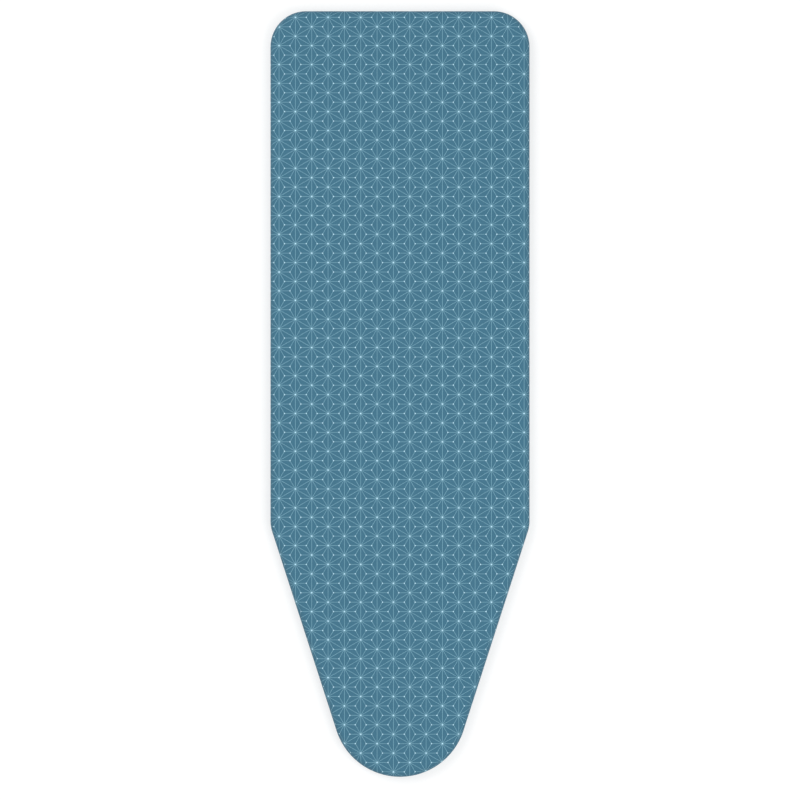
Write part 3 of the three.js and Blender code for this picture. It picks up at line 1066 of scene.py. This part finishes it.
@dataclass(frozen=True)
class GatheredDrape:
    """Cloth simulation of the flange round a curve, where the elastic draws in spare cloth.

    The flange starts as a brim that slopes out and down from the rim. Its hem is swung in under the
    board, onto the shorter curve of the elastic, and the cloth between buckles into pleats.
    """

    spread: float = 0.9
    swing_frames: int = 6
    tuck_frames: int = 8
    rest_frames: int = 8
    quality: int = 6
    tension: float = 25.0
    compression: float = 12.0
    shear: float = 5.0
    bending: float = 0.3
    reach: float = 0.004
    easing_rounds: int = 10
    steepest: float = 0.4
    fade_stations: int = 14

    @staticmethod
    def brim(rim: Outline, cloth: np.ndarray, out: float) -> np.ndarray:
        """The flange straight from the rim, by ring and station, and outwards by some share."""
        down = math.sqrt(1 - out**2)
        return np.array([at_height(rim.points + rim.facing * s * out, -s * down) for s in cloth])

    def settle(
        self, fitted: np.ndarray, rim: Outline, cloth: np.ndarray, held: np.ndarray
    ) -> np.ndarray:
        """Swings the brim in and reads the settled cloth back.

        Args:
            fitted: Points of the flange by ring and station, where its pinned rings end up.
            rim: The stations that the brim starts from.
            cloth: Length of cloth from the rim to each ring.
            held: 1 where a point is led to its fitted place and 0 where it is free.

        Returns:
            The settled points, eased into the fitted ones at both ends of the curve.
        """
        rings, count = held.shape
        bpy.ops.mesh.primitive_grid_add(x_subdivisions=count - 1, y_subdivisions=rings - 1)
        draft = bpy.context.object
        start = self.brim(rim, cloth, self.spread)
        draft.data.vertices.foreach_set("co", start.reshape(-1).astype(np.float32))
        draft.shape_key_add(name="brim")
        down_at = 1 + self.swing_frames
        in_at = down_at + self.tuck_frames
        for name, shape, course in (
            ("hanging", self.brim(rim, cloth, 0.0), ((1, 0.0), (down_at, 1.0), (in_at, 0.0))),
            ("fitted", fitted, ((down_at, 0.0), (in_at, 1.0))),
        ):
            key = draft.shape_key_add(name=name)
            key.data.foreach_set("co", shape.reshape(-1).astype(np.float32))
            for number, value in course:
                key.value = value
                key.keyframe_insert("value", frame=number)
        group = draft.vertex_groups.new(name="held")
        for index in np.flatnonzero(held.reshape(-1) > 0).tolist():
            group.add([index], 1.0, "REPLACE")
        points = self.simulated(draft, group.name, in_at + self.rest_frames)
        settled = self.eased(points.reshape(fitted.shape), rim, held)
        moved = settled - fitted
        station = np.arange(count)
        ends = np.minimum(station, count - 1 - station)
        moved *= smoothstep(ends, 0, self.fade_stations)[None, :, None]
        length = np.linalg.norm(moved, axis=2, keepdims=True)
        LOG.info("flange settled up to %.1f mm from the smooth one", 1000 * float(length.max()))
        return fitted + moved * np.minimum(1.0, self.reach / np.maximum(length, self.reach / 10))

    def simulated(self, draft: Piece, pinned: str, last: int) -> np.ndarray:
        """Runs the cloth simulation, and takes the draft away.

        Args:
            draft: The brim, with its moves as keyed shapes.
            pinned: Name of the group of points that follow those shapes.
            last: The last frame.

        Returns:
            The settled points, as one row of numbers.
        """
        modifier = draft.modifiers.new("gathering", "CLOTH")
        settings = modifier.settings
        settings.quality = self.quality
        for pull in ("tension", "compression", "shear", "bending"):
            setattr(settings, f"{pull}_stiffness", getattr(self, pull))
        settings.vertex_group_mass = pinned
        settings.effector_weights.gravity = 0.0
        modifier.point_cache.frame_end = last
        scene = bpy.context.scene
        for number in range(1, last + 1):
            scene.frame_set(number)
        graph = bpy.context.evaluated_depsgraph_get()
        points = np.empty(3 * len(draft.data.vertices), np.float32)
        draft.evaluated_get(graph).data.vertices.foreach_get("co", points)
        action = draft.data.shape_keys.animation_data.action
        bpy.data.objects.remove(draft)
        bpy.data.actions.remove(action)
        scene.frame_set(1)
        return points

    def eased(self, points: np.ndarray, rim: Outline, held: np.ndarray) -> np.ndarray:
        """Opens the pleats that stand so steeply that they would double back.

        Args:
            points: The simulated points by ring and station.
            rim: The stations of the curve.
            held: 1 where a point is led to its fitted place and 0 where it is free.

        Returns:
            The points, smoothed round the steep pleats alone.
        """
        ahead = np.diff(rim.points, axis=0)
        ahead /= np.linalg.norm(ahead, axis=1)[:, None]
        for _ in range(self.easing_rounds):
            steps = np.diff(points, axis=1)
            run = np.einsum("rsk,sk->rs", steps[..., :2], ahead)
            steep = run < self.steepest * np.linalg.norm(steps, axis=2)
            beside = steep[:, :-1] | steep[:, 1:]
            beside[1:-1] |= beside[:-2] | beside[2:]
            smooth = points[:, 1:-1] / 2 + (points[:, 2:] + points[:, :-2]) / 4
            change = beside & (held[:, 1:-1] == 0)
            points[:, 1:-1] = np.where(change[..., None], smooth, points[:, 1:-1])
        return points


@dataclass
class CottonSkin:
    """The printed cloth: over the top, down the edge and in under the board."""

    plan: Plan
    gathers: Gathers
    thickness: float = 0.0008
    cloth_end: float = 0.0624
    loose_to: float = 0.053
    edge_steps: int = 7
    rim_steps: int = 5
    flange_insets: tuple[float, ...] = (
        0.0165, 0.019, 0.022, 0.0255, 0.029, 0.033, 0.037, 0.041, 0.045, 0.049, 0.052, 0.055, 0.058,
    )  # fmt: skip

    def profile(self) -> list[tuple[float, float, float]]:
        """Section of the cloth's outer face, from the flat top round to the hem.

        Returns:
            The inset, the height and the length of cloth from the flat top, for each ring.
        """
        plan = self.plan
        edge, rim = plan.top_edge_radius, plan.rim_radius
        wall = plan.height - edge - rim
        down = edge * QUARTER
        rows = [
            (edge - edge * math.sin(t), plan.height - edge + edge * math.cos(t), edge * t)
            for t in np.linspace(0, QUARTER, self.edge_steps + 1)
        ]
        rows.append((0.0, rim + wall / 2, down + wall / 2))
        rows += [
            (rim - rim * math.cos(t), rim - rim * math.sin(t), down + wall + rim * t)
            for t in np.linspace(0, QUARTER, self.rim_steps + 1)
        ]
        length = rows[-1][2] + plan.rest_inset - rim
        under = plan.hem_height - self.thickness / 2
        last = (plan.rest_inset, 0.0)
        rows.append((*last, length))
        for inset in (*self.flange_insets, self.cloth_end):
            height = under * plan.flange_rise(inset)
            length += math.hypot(inset - last[0], height - last[1])
            last = (inset, height)
            rows.append((*last, length))
        return rows

    @property
    def cut_margin(self) -> float:
        """How far the flat cloth reaches beyond the flat top."""
        return self.profile()[-1][2]

    def flat_outline(self, margin: float) -> np.ndarray:
        """Outline of the cloth as cut, at a margin beyond the flat top."""
        top = self.plan.ring(self.plan.top_edge_radius)
        return top.points + top.facing * margin

    def flat_size(self) -> tuple[Pair, float]:
        """Width and length of the cloth as cut, and its area.

        Returns:
            The size of the flat cloth, then its area.
        """
        cut = self.flat_outline(self.cut_margin)
        following = np.roll(cut, -1, axis=0)
        area = abs(float(np.sum(cut[:, 0] * following[:, 1] - cut[:, 1] * following[:, 0]))) / 2
        width, length = np.ptp(cut, axis=0)
        return (float(width), float(length)), area

    def faces(self) -> tuple[np.ndarray, np.ndarray, np.ndarray]:
        """Both faces of the cloth from the flat top to the hem, as it hangs and as it was cut.

        Returns:
            The outer and the inner points by ring and station, and their place in the flat cloth.
        """
        plan = self.plan
        insets, heights, lengths = zip(*self.profile())
        outer = np.array([self.gathers.ring(i, height) for i, height in zip(insets, heights)])
        cut = np.array([self.flat_outline(length) for length in lengths])
        drawn_in = self.gathers.pucker(np.array(insets), np.array(heights))
        outer[..., :2] -= drawn_in[..., None] * plan.ring(0.0).facing[None]
        first = self.edge_steps + self.rim_steps + 2
        cloth = np.array(lengths[first:]) - lengths[first]
        rim = plan.ring(plan.rim_radius)
        loose = [plan.rest_inset < inset < self.loose_to for inset in insets[first:]]
        for part in plan.curves():
            held = np.ones((len(loose), len(part)))
            held[np.array(loose)] = 0.0
            held[:, (0, -1)] = 1.0
            fitted = outer[first:, part]
            outer[first:, part] = GatheredDrape().settle(fitted, rim.only(part), cloth, held)
        outer[..., 2] = np.maximum(outer[..., 2], 0.0)
        along = np.roll(outer, -1, axis=1) - np.roll(outer, 1, axis=1)
        normal = np.cross(along, np.gradient(outer, axis=0))
        normal /= np.linalg.norm(normal, axis=2, keepdims=True)
        normal[0] = (0.0, 0.0, 1.0)
        return outer, outer - normal * self.thickness, cut

    def build(self) -> Piece:
        """Makes the closed skin, print side out.

        Returns:
            The cloth, with a material on each side.
        """
        plan = self.plan
        top = plan.ring(plan.top_edge_radius).points
        spine = plan.spine(top)
        middle = spine + (top - spine) * 0.5
        outer, inner, cut = self.faces()
        printed = [at_height(spine, plan.height), at_height(middle, plan.height), *outer]
        rows = [*printed, *inner[::-1], at_height(spine, plan.height - self.thickness)]
        flat = [spine, middle, *cut, *cut[::-1], spine]
        skin = loft("printed_cover", rows, np.array([ring_closed(row) for row in flat]))
        inside = np.arange(len(rows) - 1) >= len(printed)
        skin.data.polygons.foreach_set("material_index", np.repeat(inside, len(top)).astype(int))
        merge_doubles(skin)
        cottons = [PrintedCotton(face).material() for face in ClothFace]
        return attach(skin, cottons, ["cotton_cover"])


@dataclass
class PadLayer:
    """A sheet of foam or felt that nests inside the rolled edge of the cloth."""

    plan: Plan
    name: str
    node: str
    slot: str
    offset: float = 0.0011
    lip: float = 0.0003
    edge_steps: int = 6

    def build(self, material: Material) -> Piece:
        """Makes the pad between the heights of its node.

        Args:
            material: Its finish.

        Returns:
            The closed pad.
        """
        plan = self.plan
        low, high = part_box(self.node)
        centre = plan.height - plan.top_edge_radius
        radius = plan.top_edge_radius - self.offset
        turns = [
            math.acos(min(1.0, (height - centre) / radius)) for height in (high.z, low.z + self.lip)
        ]
        section = [
            (plan.top_edge_radius - radius * math.sin(turn), centre + radius * math.cos(turn))
            for turn in np.linspace(*turns, self.edge_steps + 1)
        ]
        section[0] = (section[0][0], high.z)
        section.append((section[-1][0] + self.lip, low.z))
        rows = [at_height(plan.ring(inset).points, height) for inset, height in section]
        inner = plan.ring(section[0][0] + 2 * self.lip).points
        for across in (inner, plan.spine(inner)):
            rows = [at_height(across, high.z), *rows, at_height(across, low.z)]
        pad = loft(self.name, rows, np.array([ring_closed(row[:, :2]) for row in rows]))
        merge_doubles(pad)
        return attach(pad, [material], [self.node])


@dataclass(frozen=True)
class StitchRun:
    """Lockstitches, each a short length of thread that dips into the cloth at both ends."""

    pitch: float = 0.0040
    length: float = 0.0030
    radius: float = 0.00022
    sides: int = 5
    shares: tuple[float, ...] = (0.0, 0.2, 0.8, 1.0)
    girths: tuple[float, ...] = (0.55, 0.95, 0.95, 0.55)
    rises: tuple[float, ...] = (-0.7, 0.45, 0.45, -0.7)

    def one_stitch(self) -> tuple[np.ndarray, list[list[int]]]:
        """One stitch along +X from the origin, with +Z out of the cloth.

        Returns:
            Its points and its faces, in an order that is the same on each run.
        """
        bpy.ops.object.select_all(action="DESELECT")
        bpy.ops.mesh.primitive_circle_add(
            vertices=self.sides,
            radius=self.girths[0] * self.radius,
            fill_type="NGON",
            location=(0.0, 0.0, self.rises[0] * self.radius),
            rotation=(0.0, QUARTER, 0.0),
        )
        piece = bpy.context.object
        bpy.ops.object.transform_apply()
        bpy.ops.object.mode_set(mode="EDIT")
        for i in range(1, len(self.shares)):
            along = (self.shares[i] - self.shares[i - 1]) * self.length
            up = (self.rises[i] - self.rises[i - 1]) * self.radius
            bpy.ops.mesh.extrude_region_move(TRANSFORM_OT_translate={"value": (along, 0.0, up)})
            centre = (self.shares[i] * self.length, 0.0, self.rises[i] * self.radius)
            swell = self.girths[i] / self.girths[i - 1]
            bpy.ops.transform.resize(value=(swell, swell, swell), center_override=centre)
        bpy.ops.object.mode_set(mode="OBJECT")
        face_outwards(piece)
        points = np.array([v.co[:] for v in piece.data.vertices])
        order = np.lexsort(points.T.round(7))
        rank = np.argsort(order)
        faces = []
        for face in piece.data.polygons:
            loop = rank[list(face.vertices)].tolist()
            first = loop.index(min(loop))
            faces.append(loop[first:] + loop[:first])
        bpy.data.objects.remove(piece)
        return points[order], sorted(faces)

    def places(self, path: np.ndarray, up: float) -> np.ndarray:
        """Where the stitches of one path lie.

        Args:
            path: Points along the seam.
            up: 1 where the cloth faces up and -1 where it faces down.

        Returns:
            For each stitch its start, then a stitch's length along it, and one metre aside and
            one out of the cloth.
        """
        along = length_along(path)
        count = max(1, round(along[-1] / self.pitch))
        middles = (np.arange(count) + 0.5) * along[-1] / count
        start, end = (
            np.column_stack([np.interp(middles + half, along, path[:, i]) for i in range(3)])
            for half in (-self.length / 2, self.length / 2)
        )
        out = np.cross(end - start, np.cross((0.0, 0.0, up), end - start))
        out /= np.linalg.norm(out, axis=1)[:, None]
        aside = np.cross(out, end - start)
        aside /= np.linalg.norm(aside, axis=1)[:, None]
        return np.stack([start, (end - start) / self.length, aside, out], axis=1)

    def build(self, name: str, paths: Sequence[tuple[np.ndarray, float]]) -> Piece:
        """Makes all the stitches of a piece.

        Args:
            name: Name of the piece.
            paths: Seam lines, each with the way that its cloth faces.

        Returns:
            The stitches as one object.
        """
        thread, faces = self.one_stitch()
        places = np.concatenate([self.places(path, up) for path, up in paths])
        points = places[:, :1] + np.einsum("pi,sik->spk", thread, places[:, 1:])
        every = []
        for first in range(0, len(places) * len(thread), len(thread)):
            every += [[first + i for i in face] for face in faces]
        return new_piece(name, points.reshape(-1, 3), every)


@dataclass
class HemBinding:
    """The tape folded round the edge of the cloth, the elastic in its fold and the seam."""

    plan: Plan
    gathers: Gathers
    tape_start: float = 0.055
    tape_thickness: float = 0.0006
    half: float = 0.0015
    elastic_start: float = 0.0629
    elastic_end: float = 0.0689
    elastic_half: float = 0.0004
    seam_inset: float = 0.0571
    fold_steps: int = 6
    leg_steps: int = 4
    # The second colour of the braid is painted shade in its grooves.
    braid: RibbedWebbing = RibbedWebbing(
        "elastic_braid", srgb(238, 236, 230), srgb(190, 187, 180), 0.0010, 0.0008
    )
    thread: SewingThread = SewingThread("blue_thread", srgb(96, 142, 160))
    tape_nodes: tuple[str, ...] = (
        "hem_tape_tail",
        "hem_tape_tail_right",
        "hem_tape_tail_left",
        "hem_tape_right",
        "hem_tape_left",
        "hem_tape_taper_right",
        "hem_tape_taper_left",
        "hem_tape_nose",
    )

    def _swept(self, name: str, section: Sequence[Pair]) -> Piece:
        """A closed section swept round the hem.

        Args:
            name: Name of the piece.
            section: Inset and height over the middle of the hem, round the section.

        Returns:
            The new object, with its length and its girth as cloth coordinates.
        """
        hem = self.plan.hem_height
        rows = [self.gathers.ring(inset, hem + height) for inset, height in section]
        girth = length_along(ring_closed(np.array(section)))
        uv = np.stack(np.meshgrid(self.gathers.along, girth), axis=-1)
        return loft(name, rows, uv, closed=True)

    def tape_section(self) -> list[Pair]:
        """Section of the folded tape, from its lower face round the fold.

        Returns:
            Its inset and height over the middle of the hem, round the section.
        """
        inner = self.half - self.tape_thickness
        middle = self.plan.hem_inset - self.half
        turns = np.linspace(-QUARTER, QUARTER, self.fold_steps + 1)
        legs = np.linspace(middle, self.tape_start, self.leg_steps + 1)[1:]
        section = [
            (middle + self.half * math.cos(turn), self.half * math.sin(turn)) for turn in turns
        ]
        section += [(inset, self.half) for inset in legs]
        section += [(inset, inner) for inset in legs[::-1]]
        section += [(middle + inner * math.cos(t), inner * math.sin(t)) for t in turns[::-1]]
        section += [(inset, -inner) for inset in legs]
        section += [(inset, -self.half) for inset in legs[::-1]]
        return section

    def build_tape(self) -> Piece:
        """Makes the folded tape."""
        tape = self._swept("hem_casing", self.tape_section())
        return attach(tape, [BiasTape().material()], self.tape_nodes)

    def build_elastic(self) -> Piece:
        """Makes the flat braid inside the fold.

        Returns:
            The closed braid.
        """
        half, corner = self.elastic_half, self.elastic_half / 2
        section = [
            (self.elastic_end - corner, -half),
            (self.elastic_end, -corner),
            (self.elastic_end, corner),
            (self.elastic_end - corner, half),
            (self.elastic_start + corner, half),
            (self.elastic_start, corner),
            (self.elastic_start, -corner),
            (self.elastic_start + corner, -half),
        ]
        braid = self._swept("elastic_braid", section)
        return attach(braid, [self.braid.material()], ["hem_elastic"])

    def build_seam(self) -> Piece:
        """Makes the topstitching on both faces of the tape.

        Returns:
            All of its stitches.
        """
        paths = []
        for up in (1.0, -1.0):
            seam = self.gathers.ring(self.seam_inset, self.plan.hem_height + up * self.half)
            paths.append((ring_closed(seam), up))
        seam = StitchRun().build("hem_topstitch", paths)
        return attach(seam, [self.thread.material()])


@dataclass
class TensionStrap:
    """Elastic webbing, looped through a clip's bail at each end and sewn back on itself."""

    plan: Plan
    place: Place
    width: float = 0.018
    thickness: float = 0.00115
    bail_inner: float = 0.1223
    bail_outer: float = 0.1253
    bail_clearance: float = 0.00125
    fold_back: float = 0.0220
    hang: float = 0.00345
    corner: float = 0.0004
    ease_before: float = 0.012
    ease_after: float = 0.002
    ply_gap: float = 0.00004
    single_steps: int = 40
    double_steps: int = 8
    turn_steps: int = 13
    corner_points: int = 3
    yarn: Colour = srgb(236, 234, 227)
    # Painted shade in the webbing's grooves.
    groove_shade: Colour = srgb(172, 168, 158)
    cord_pitch: float = 0.0012
    weft_pitch: float = 0.0007
    seam_margin: float = 0.0030
    seam_lift: float = 0.00002
    seam_points: int = 6
    stitch: StitchRun = StitchRun(pitch=0.0029, length=0.0023, radius=0.00020)
    thread: Colour = srgb(176, 178, 178)

    @property
    def name(self) -> str:
        """The strap's place, as in the names of its nodes."""
        return self.place.name.lower()

    @property
    def height(self) -> float:
        """Height of the clips' plates, which the strap lies level with."""
        return self.plan.hem_height + self.hang

    @property
    def loop_start(self) -> float:
        """Where the two layers part to go round the bail."""
        return self.bail_inner - 2 * self.bail_clearance

    @property
    def fold_end(self) -> float:
        """Where the folded end stops."""
        return self.loop_start - self.fold_back

    def path(self) -> np.ndarray:
        """Middle line of the webbing, from one folded end to the other, as X and height.

        Returns:
            Its points, in order.
        """
        half, out = self.thickness / 2, self.bail_clearance
        ease, fold = self.fold_end - self.ease_before, self.fold_end + self.ease_after
        marks = (ease, fold, self.loop_start, self.bail_inner)
        rise, double, opening = (
            np.linspace(start, end, self.double_steps)[1:] for start, end in zip(marks, marks[1:])
        )
        turn = np.linspace(QUARTER, -QUARTER, self.turn_steps)
        gap = half + (out - half) * smoothstep(opening, self.loop_start, self.bail_inner)
        right = [(x, 0.0) for x in np.linspace(0.0, ease, self.single_steps)]
        right += zip(rise, half * smoothstep(rise, ease, fold))
        right += [(x, half) for x in double]
        right += zip(opening, gap)
        right += [(self.bail_outer + out * math.cos(t), out * math.sin(t)) for t in turn]
        right += zip(opening[::-1], -gap[::-1])
        right += [(x, -half - self.ply_gap) for x in (*double[::-1], self.fold_end)]
        left = [(-x, z) for x, z in reversed(right[1:])]
        return np.array([*left, *right])

    def section(self) -> np.ndarray:
        """Section of the webbing with its rounded corners.

        Returns:
            The points round it, across the webbing and through it.
        """
        middle = np.array([self.width, self.thickness]) / 2 - self.corner
        points = []
        for corner in ((1, 1), (-1, 1), (-1, -1), (1, -1)):
            start = math.atan2(corner[1], corner[0]) - QUARTER / 2
            for turn in np.linspace(start, start + QUARTER, self.corner_points):
                bend = np.array([math.cos(turn), math.sin(turn)])
                points.append(corner * middle + self.corner * bend)
        return np.array(points)

    def build(self) -> Piece:
        """Makes the webbing in one length.

        Returns:
            The closed webbing.
        """
        path = self.path()
        ahead = np.gradient(path, axis=0)
        ahead /= np.linalg.norm(ahead, axis=1)[:, None]
        across, through = self.section().T
        side = self.place.value + across
        rings = [
            np.column_stack([x - ahead_z * through, side, self.height + z + ahead_x * through])
            for (x, z), (ahead_x, ahead_z) in zip(path, ahead)
        ]
        girth = np.append(across, across[0])
        uv = np.stack(np.meshgrid(length_along(path), girth, indexing="ij"), axis=-1)
        name = f"{self.name}_webbing"
        band = loft(name, rings, uv)
        with all_in_edit_mode(band):
            bpy.ops.mesh.fill_holes(sides=0)
        face_outwards(band)
        finish = RibbedWebbing(name, self.yarn, self.groove_shade, self.cord_pitch, self.weft_pitch)
        return attach(band, [finish.material()], [f"{self.name}_strap"])

    def build_seam(self) -> Piece:
        """Makes the crossed box of stitches that holds each folded end.

        Returns:
            All of its stitches.
        """
        near = self.fold_end + self.seam_margin
        far = self.loop_start - self.seam_margin
        half = self.width / 2 - self.seam_margin
        corners = [(near, -half), (far, -half), (far, half), (near, half)]
        lines = [(corners[i], corners[(i + 1) % 4]) for i in range(4)]
        lines += [(corners[0], corners[2]), (corners[1], corners[3])]
        paths = []
        for side in Side:
            for start, end in lines:
                for up in (1.0, -1.0):
                    level = self.height + up * (self.thickness + self.seam_lift)
                    points = np.linspace((*start, level), (*end, level), self.seam_points)
                    points[:, 0] *= side.value
                    points[:, 1] += self.place.value
                    paths.append((points, up))
        name = f"{self.name}_box_stitch"
        seam = self.stitch.build(name, paths)
        thread = SewingThread(f"{name}_thread", self.thread)
        return attach(seam, [thread.material()])


class ClipPiece(Enum):
    """Pieces of a cam clip: the node's ending, the ending of the body and the finish."""

    PLATE = ("clip_plate", "", "plated_steel")
    JAW = ("clip_jaw", "jaw", "plated_steel")
    LEVER = ("clip_lever", "lever", "plated_steel")
    LEVER_PIN = ("lever_pin", "", "plated_steel")
    JAW_PIN = ("jaw_pin", "", "plated_steel")
    UPPER_SHOE = ("upper_shoe", "", "nylon")
    LOWER_SHOE = ("lower_shoe", "jaw", "nylon")


@dataclass
class CamClip:
    """A pressed-steel cam clip with nylon shoes, finished from its nodes."""

    place: Place
    side: Side
    finishes: dict[str, Material]
    edge_round: float = 0.00012
    flat_angle: float = math.radians(1)
    smooth_angle: float = math.radians(40)

    @property
    def name(self) -> str:
        """The clip's place and side."""
        return f"{self.place.name.lower()}_{self.side.name.lower()}"

    def build(self) -> None:
        """Finishes each piece: merged, its edges rounded as by tumbling, and plated."""
        for part in ClipPiece:
            ending, body, slot = part.value
            node = f"{self.name}_{ending}"
            piece = in_scene(f"{node}_finished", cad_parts[node].data.copy())
            merge_doubles(piece)
            self._round_edges(piece)
            piece.data.materials.clear()
            moves_with = f"{self.name}_{body}" if body else "cover"
            attach(piece, [self.finishes[slot]], [node], moves_with)

    def _round_edges(self, piece: Piece) -> None:
        """Merges flat faces, rounds the sharp edges and smooths the curved faces.

        Args:
            piece: The piece, which is selected.
        """
        with all_in_edit_mode(piece):
            bpy.ops.mesh.dissolve_limited(angle_limit=self.flat_angle)
        bevel = piece.modifiers.new("tumbled", "BEVEL")
        bevel.width = self.edge_round
        bevel.segments = 2
        bevel.limit_method = "ANGLE"
        bevel.angle_limit = self.smooth_angle
        bpy.ops.object.modifier_apply(modifier=bevel.name)
        bpy.ops.object.shade_smooth_by_angle(angle=self.smooth_angle)


@dataclass
class Studio:
    """The pale floor, the soft light and the camera straight above."""

    view_width: float = 1.3883
    below_middle: float = 0.0104
    lens: float = 135.0
    sensor: float = 36.0
    farthest: float = 50.0
    print_height: float = 0.026
    world_strength: float = 0.66
    lamp_places: tuple[Pair, ...] = ((-1.7, 1.1), (1.7, -1.1))
    lamp_height: float = 3.0
    lamp_size: float = 2.0
    lamp_power: float = 40.0
    floor_half: float = 8.0
    floor_drop: float = 0.0002
    floor_paint: Colour = (0.5, 0.5, 0.5, 1.0)
    floor_glow: float = 0.53
    shaded_to: float = 1.1
    white_from: float = 2.5

    def build_camera(self) -> None:
        """Adds the camera over the cover, as the photograph is framed."""
        data = bpy.data.cameras.new("camera")
        data.lens = self.lens
        data.sensor_width = self.sensor
        data.clip_end = self.farthest
        camera = in_scene("camera", data)
        above = self.view_width * self.lens / self.sensor + self.print_height
        camera.location = (0.0, -self.below_middle, above)
        bpy.context.scene.camera = camera

    def build_lights(self) -> None:
        """Adds an even world and two large soft lamps, out of the camera's sight."""
        world = bpy.data.worlds.new("studio")
        world.use_nodes = True
        tree = world.node_tree
        seen = add_node(tree, "ShaderNodeLightPath", output="Is Camera Ray")
        levels = {"Factor": seen, "A": self.world_strength, "B": 1.0}
        strength = add_node(tree, "ShaderNodeMix", {}, levels)
        background = tree.nodes["Background"]
        tree.links.new(strength.socket, background.inputs["Strength"])
        background.inputs["Color"].default_value = (1.0, 1.0, 1.0, 1.0)
        bpy.context.scene.world = world
        height = self.lamp_height
        for x, y in self.lamp_places:
            data = bpy.data.lights.new("softbox", "AREA")
            data.shape = "SQUARE"
            data.size = self.lamp_size
            data.energy = self.lamp_power
            lamp = in_scene("softbox", data)
            lamp.location = (x, y, height)
            lamp.rotation_euler = (-math.atan2(y, height), math.atan2(x, height), 0.0)
            lamp.visible_camera = False

    def build_floor(self) -> None:
        """Adds the floor, which only the camera and reflections see, from above."""
        bpy.ops.object.select_all(action="DESELECT")
        place = (0.0, 0.0, -self.floor_drop)
        bpy.ops.mesh.primitive_plane_add(size=2 * self.floor_half, location=place)
        floor = bpy.context.active_object
        floor.name = "floor"
        maker = MaterialMaker("white_floor")
        seen = maker.node("ShaderNodeLightPath", output="Is Camera Ray")
        rays = seen.socket.node.outputs
        for kind in ("Glossy", "Transmission"):
            seen = seen.most(Value(maker.tree, rays[f"Is {kind} Ray"]))
        behind = maker.node("ShaderNodeNewGeometry", output="Backfacing")
        paint = maker.node("ShaderNodeBsdfDiffuse", {}, {"Color": self.floor_paint})
        glow = maker.node("ShaderNodeEmission", {}, {"Strength": self.floor_glow})
        lit = maker.node("ShaderNodeAddShader", {}, {0: paint, 1: glow})
        x, y, _ = maker.parts(maker.object_point())
        near = ((x * x + y * y) ** 0.5).within(self.shaded_to, self.white_from - self.shaded_to)
        white = maker.node("ShaderNodeEmission", {}, {"Strength": 1.0})
        top = maker.node("ShaderNodeMixShader", {}, {0: near, 1: white, 2: lit})
        clear = maker.node("ShaderNodeBsdfTransparent")
        shader = maker.node("ShaderNodeMixShader", {}, {0: seen * (1 - behind), 1: clear, 2: top})
        maker.node("ShaderNodeOutputMaterial", {}, {"Surface": shader})
        floor.data.materials.append(maker.material)


def corners(bounds: Sequence[Sequence[float]]) -> list[list[float]]:
    """A box as plain lists of numbers."""
    return [[float(value) for value in corner] for corner in bounds]


def main() -> None:
    """Builds every piece over its node, and reports it."""
    logging.basicConfig(level=logging.INFO, format="%(name)s: %(message)s")
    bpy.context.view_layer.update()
    _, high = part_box("cotton_cover")
    plan = Plan(high.x, high.y, high.z)
    gathers = Gathers(plan)
    studio = Studio()
    studio.build_camera()

    binding = HemBinding(plan, gathers)
    tape, elastic, seam = binding.build_tape(), binding.build_elastic(), binding.build_seam()
    foam = PadLayer(plan, "foam_pad", "foam_layer", "foam").build(OpenCellFoam().material())
    PadLayer(plan, "felt_pad", "felt_underlay", "felt").build(NeedledFelt().material())
    cloth = CottonSkin(plan, gathers)
    skin = cloth.build()
    flat, area = cloth.flat_size()
    foam.name
    LOG.info("cloth cut %.3f by %.3f m, %.3f m2, hem %.2f m", *flat, area, gathers.length)

    finishes = {"plated_steel": NickelPlate().material(), "nylon": MouldedNylon().material()}
    for place in Place:
        strap = TensionStrap(plan, place)
        strap.build()
        strap.build_seam()
        for side in Side:
            CamClip(place, side, finishes).build()

    studio.build_floor()
    studio.build_lights()
    bpy.context.scene.view_settings.view_transform = "Standard"


if __name__ == "__main__":
    main()
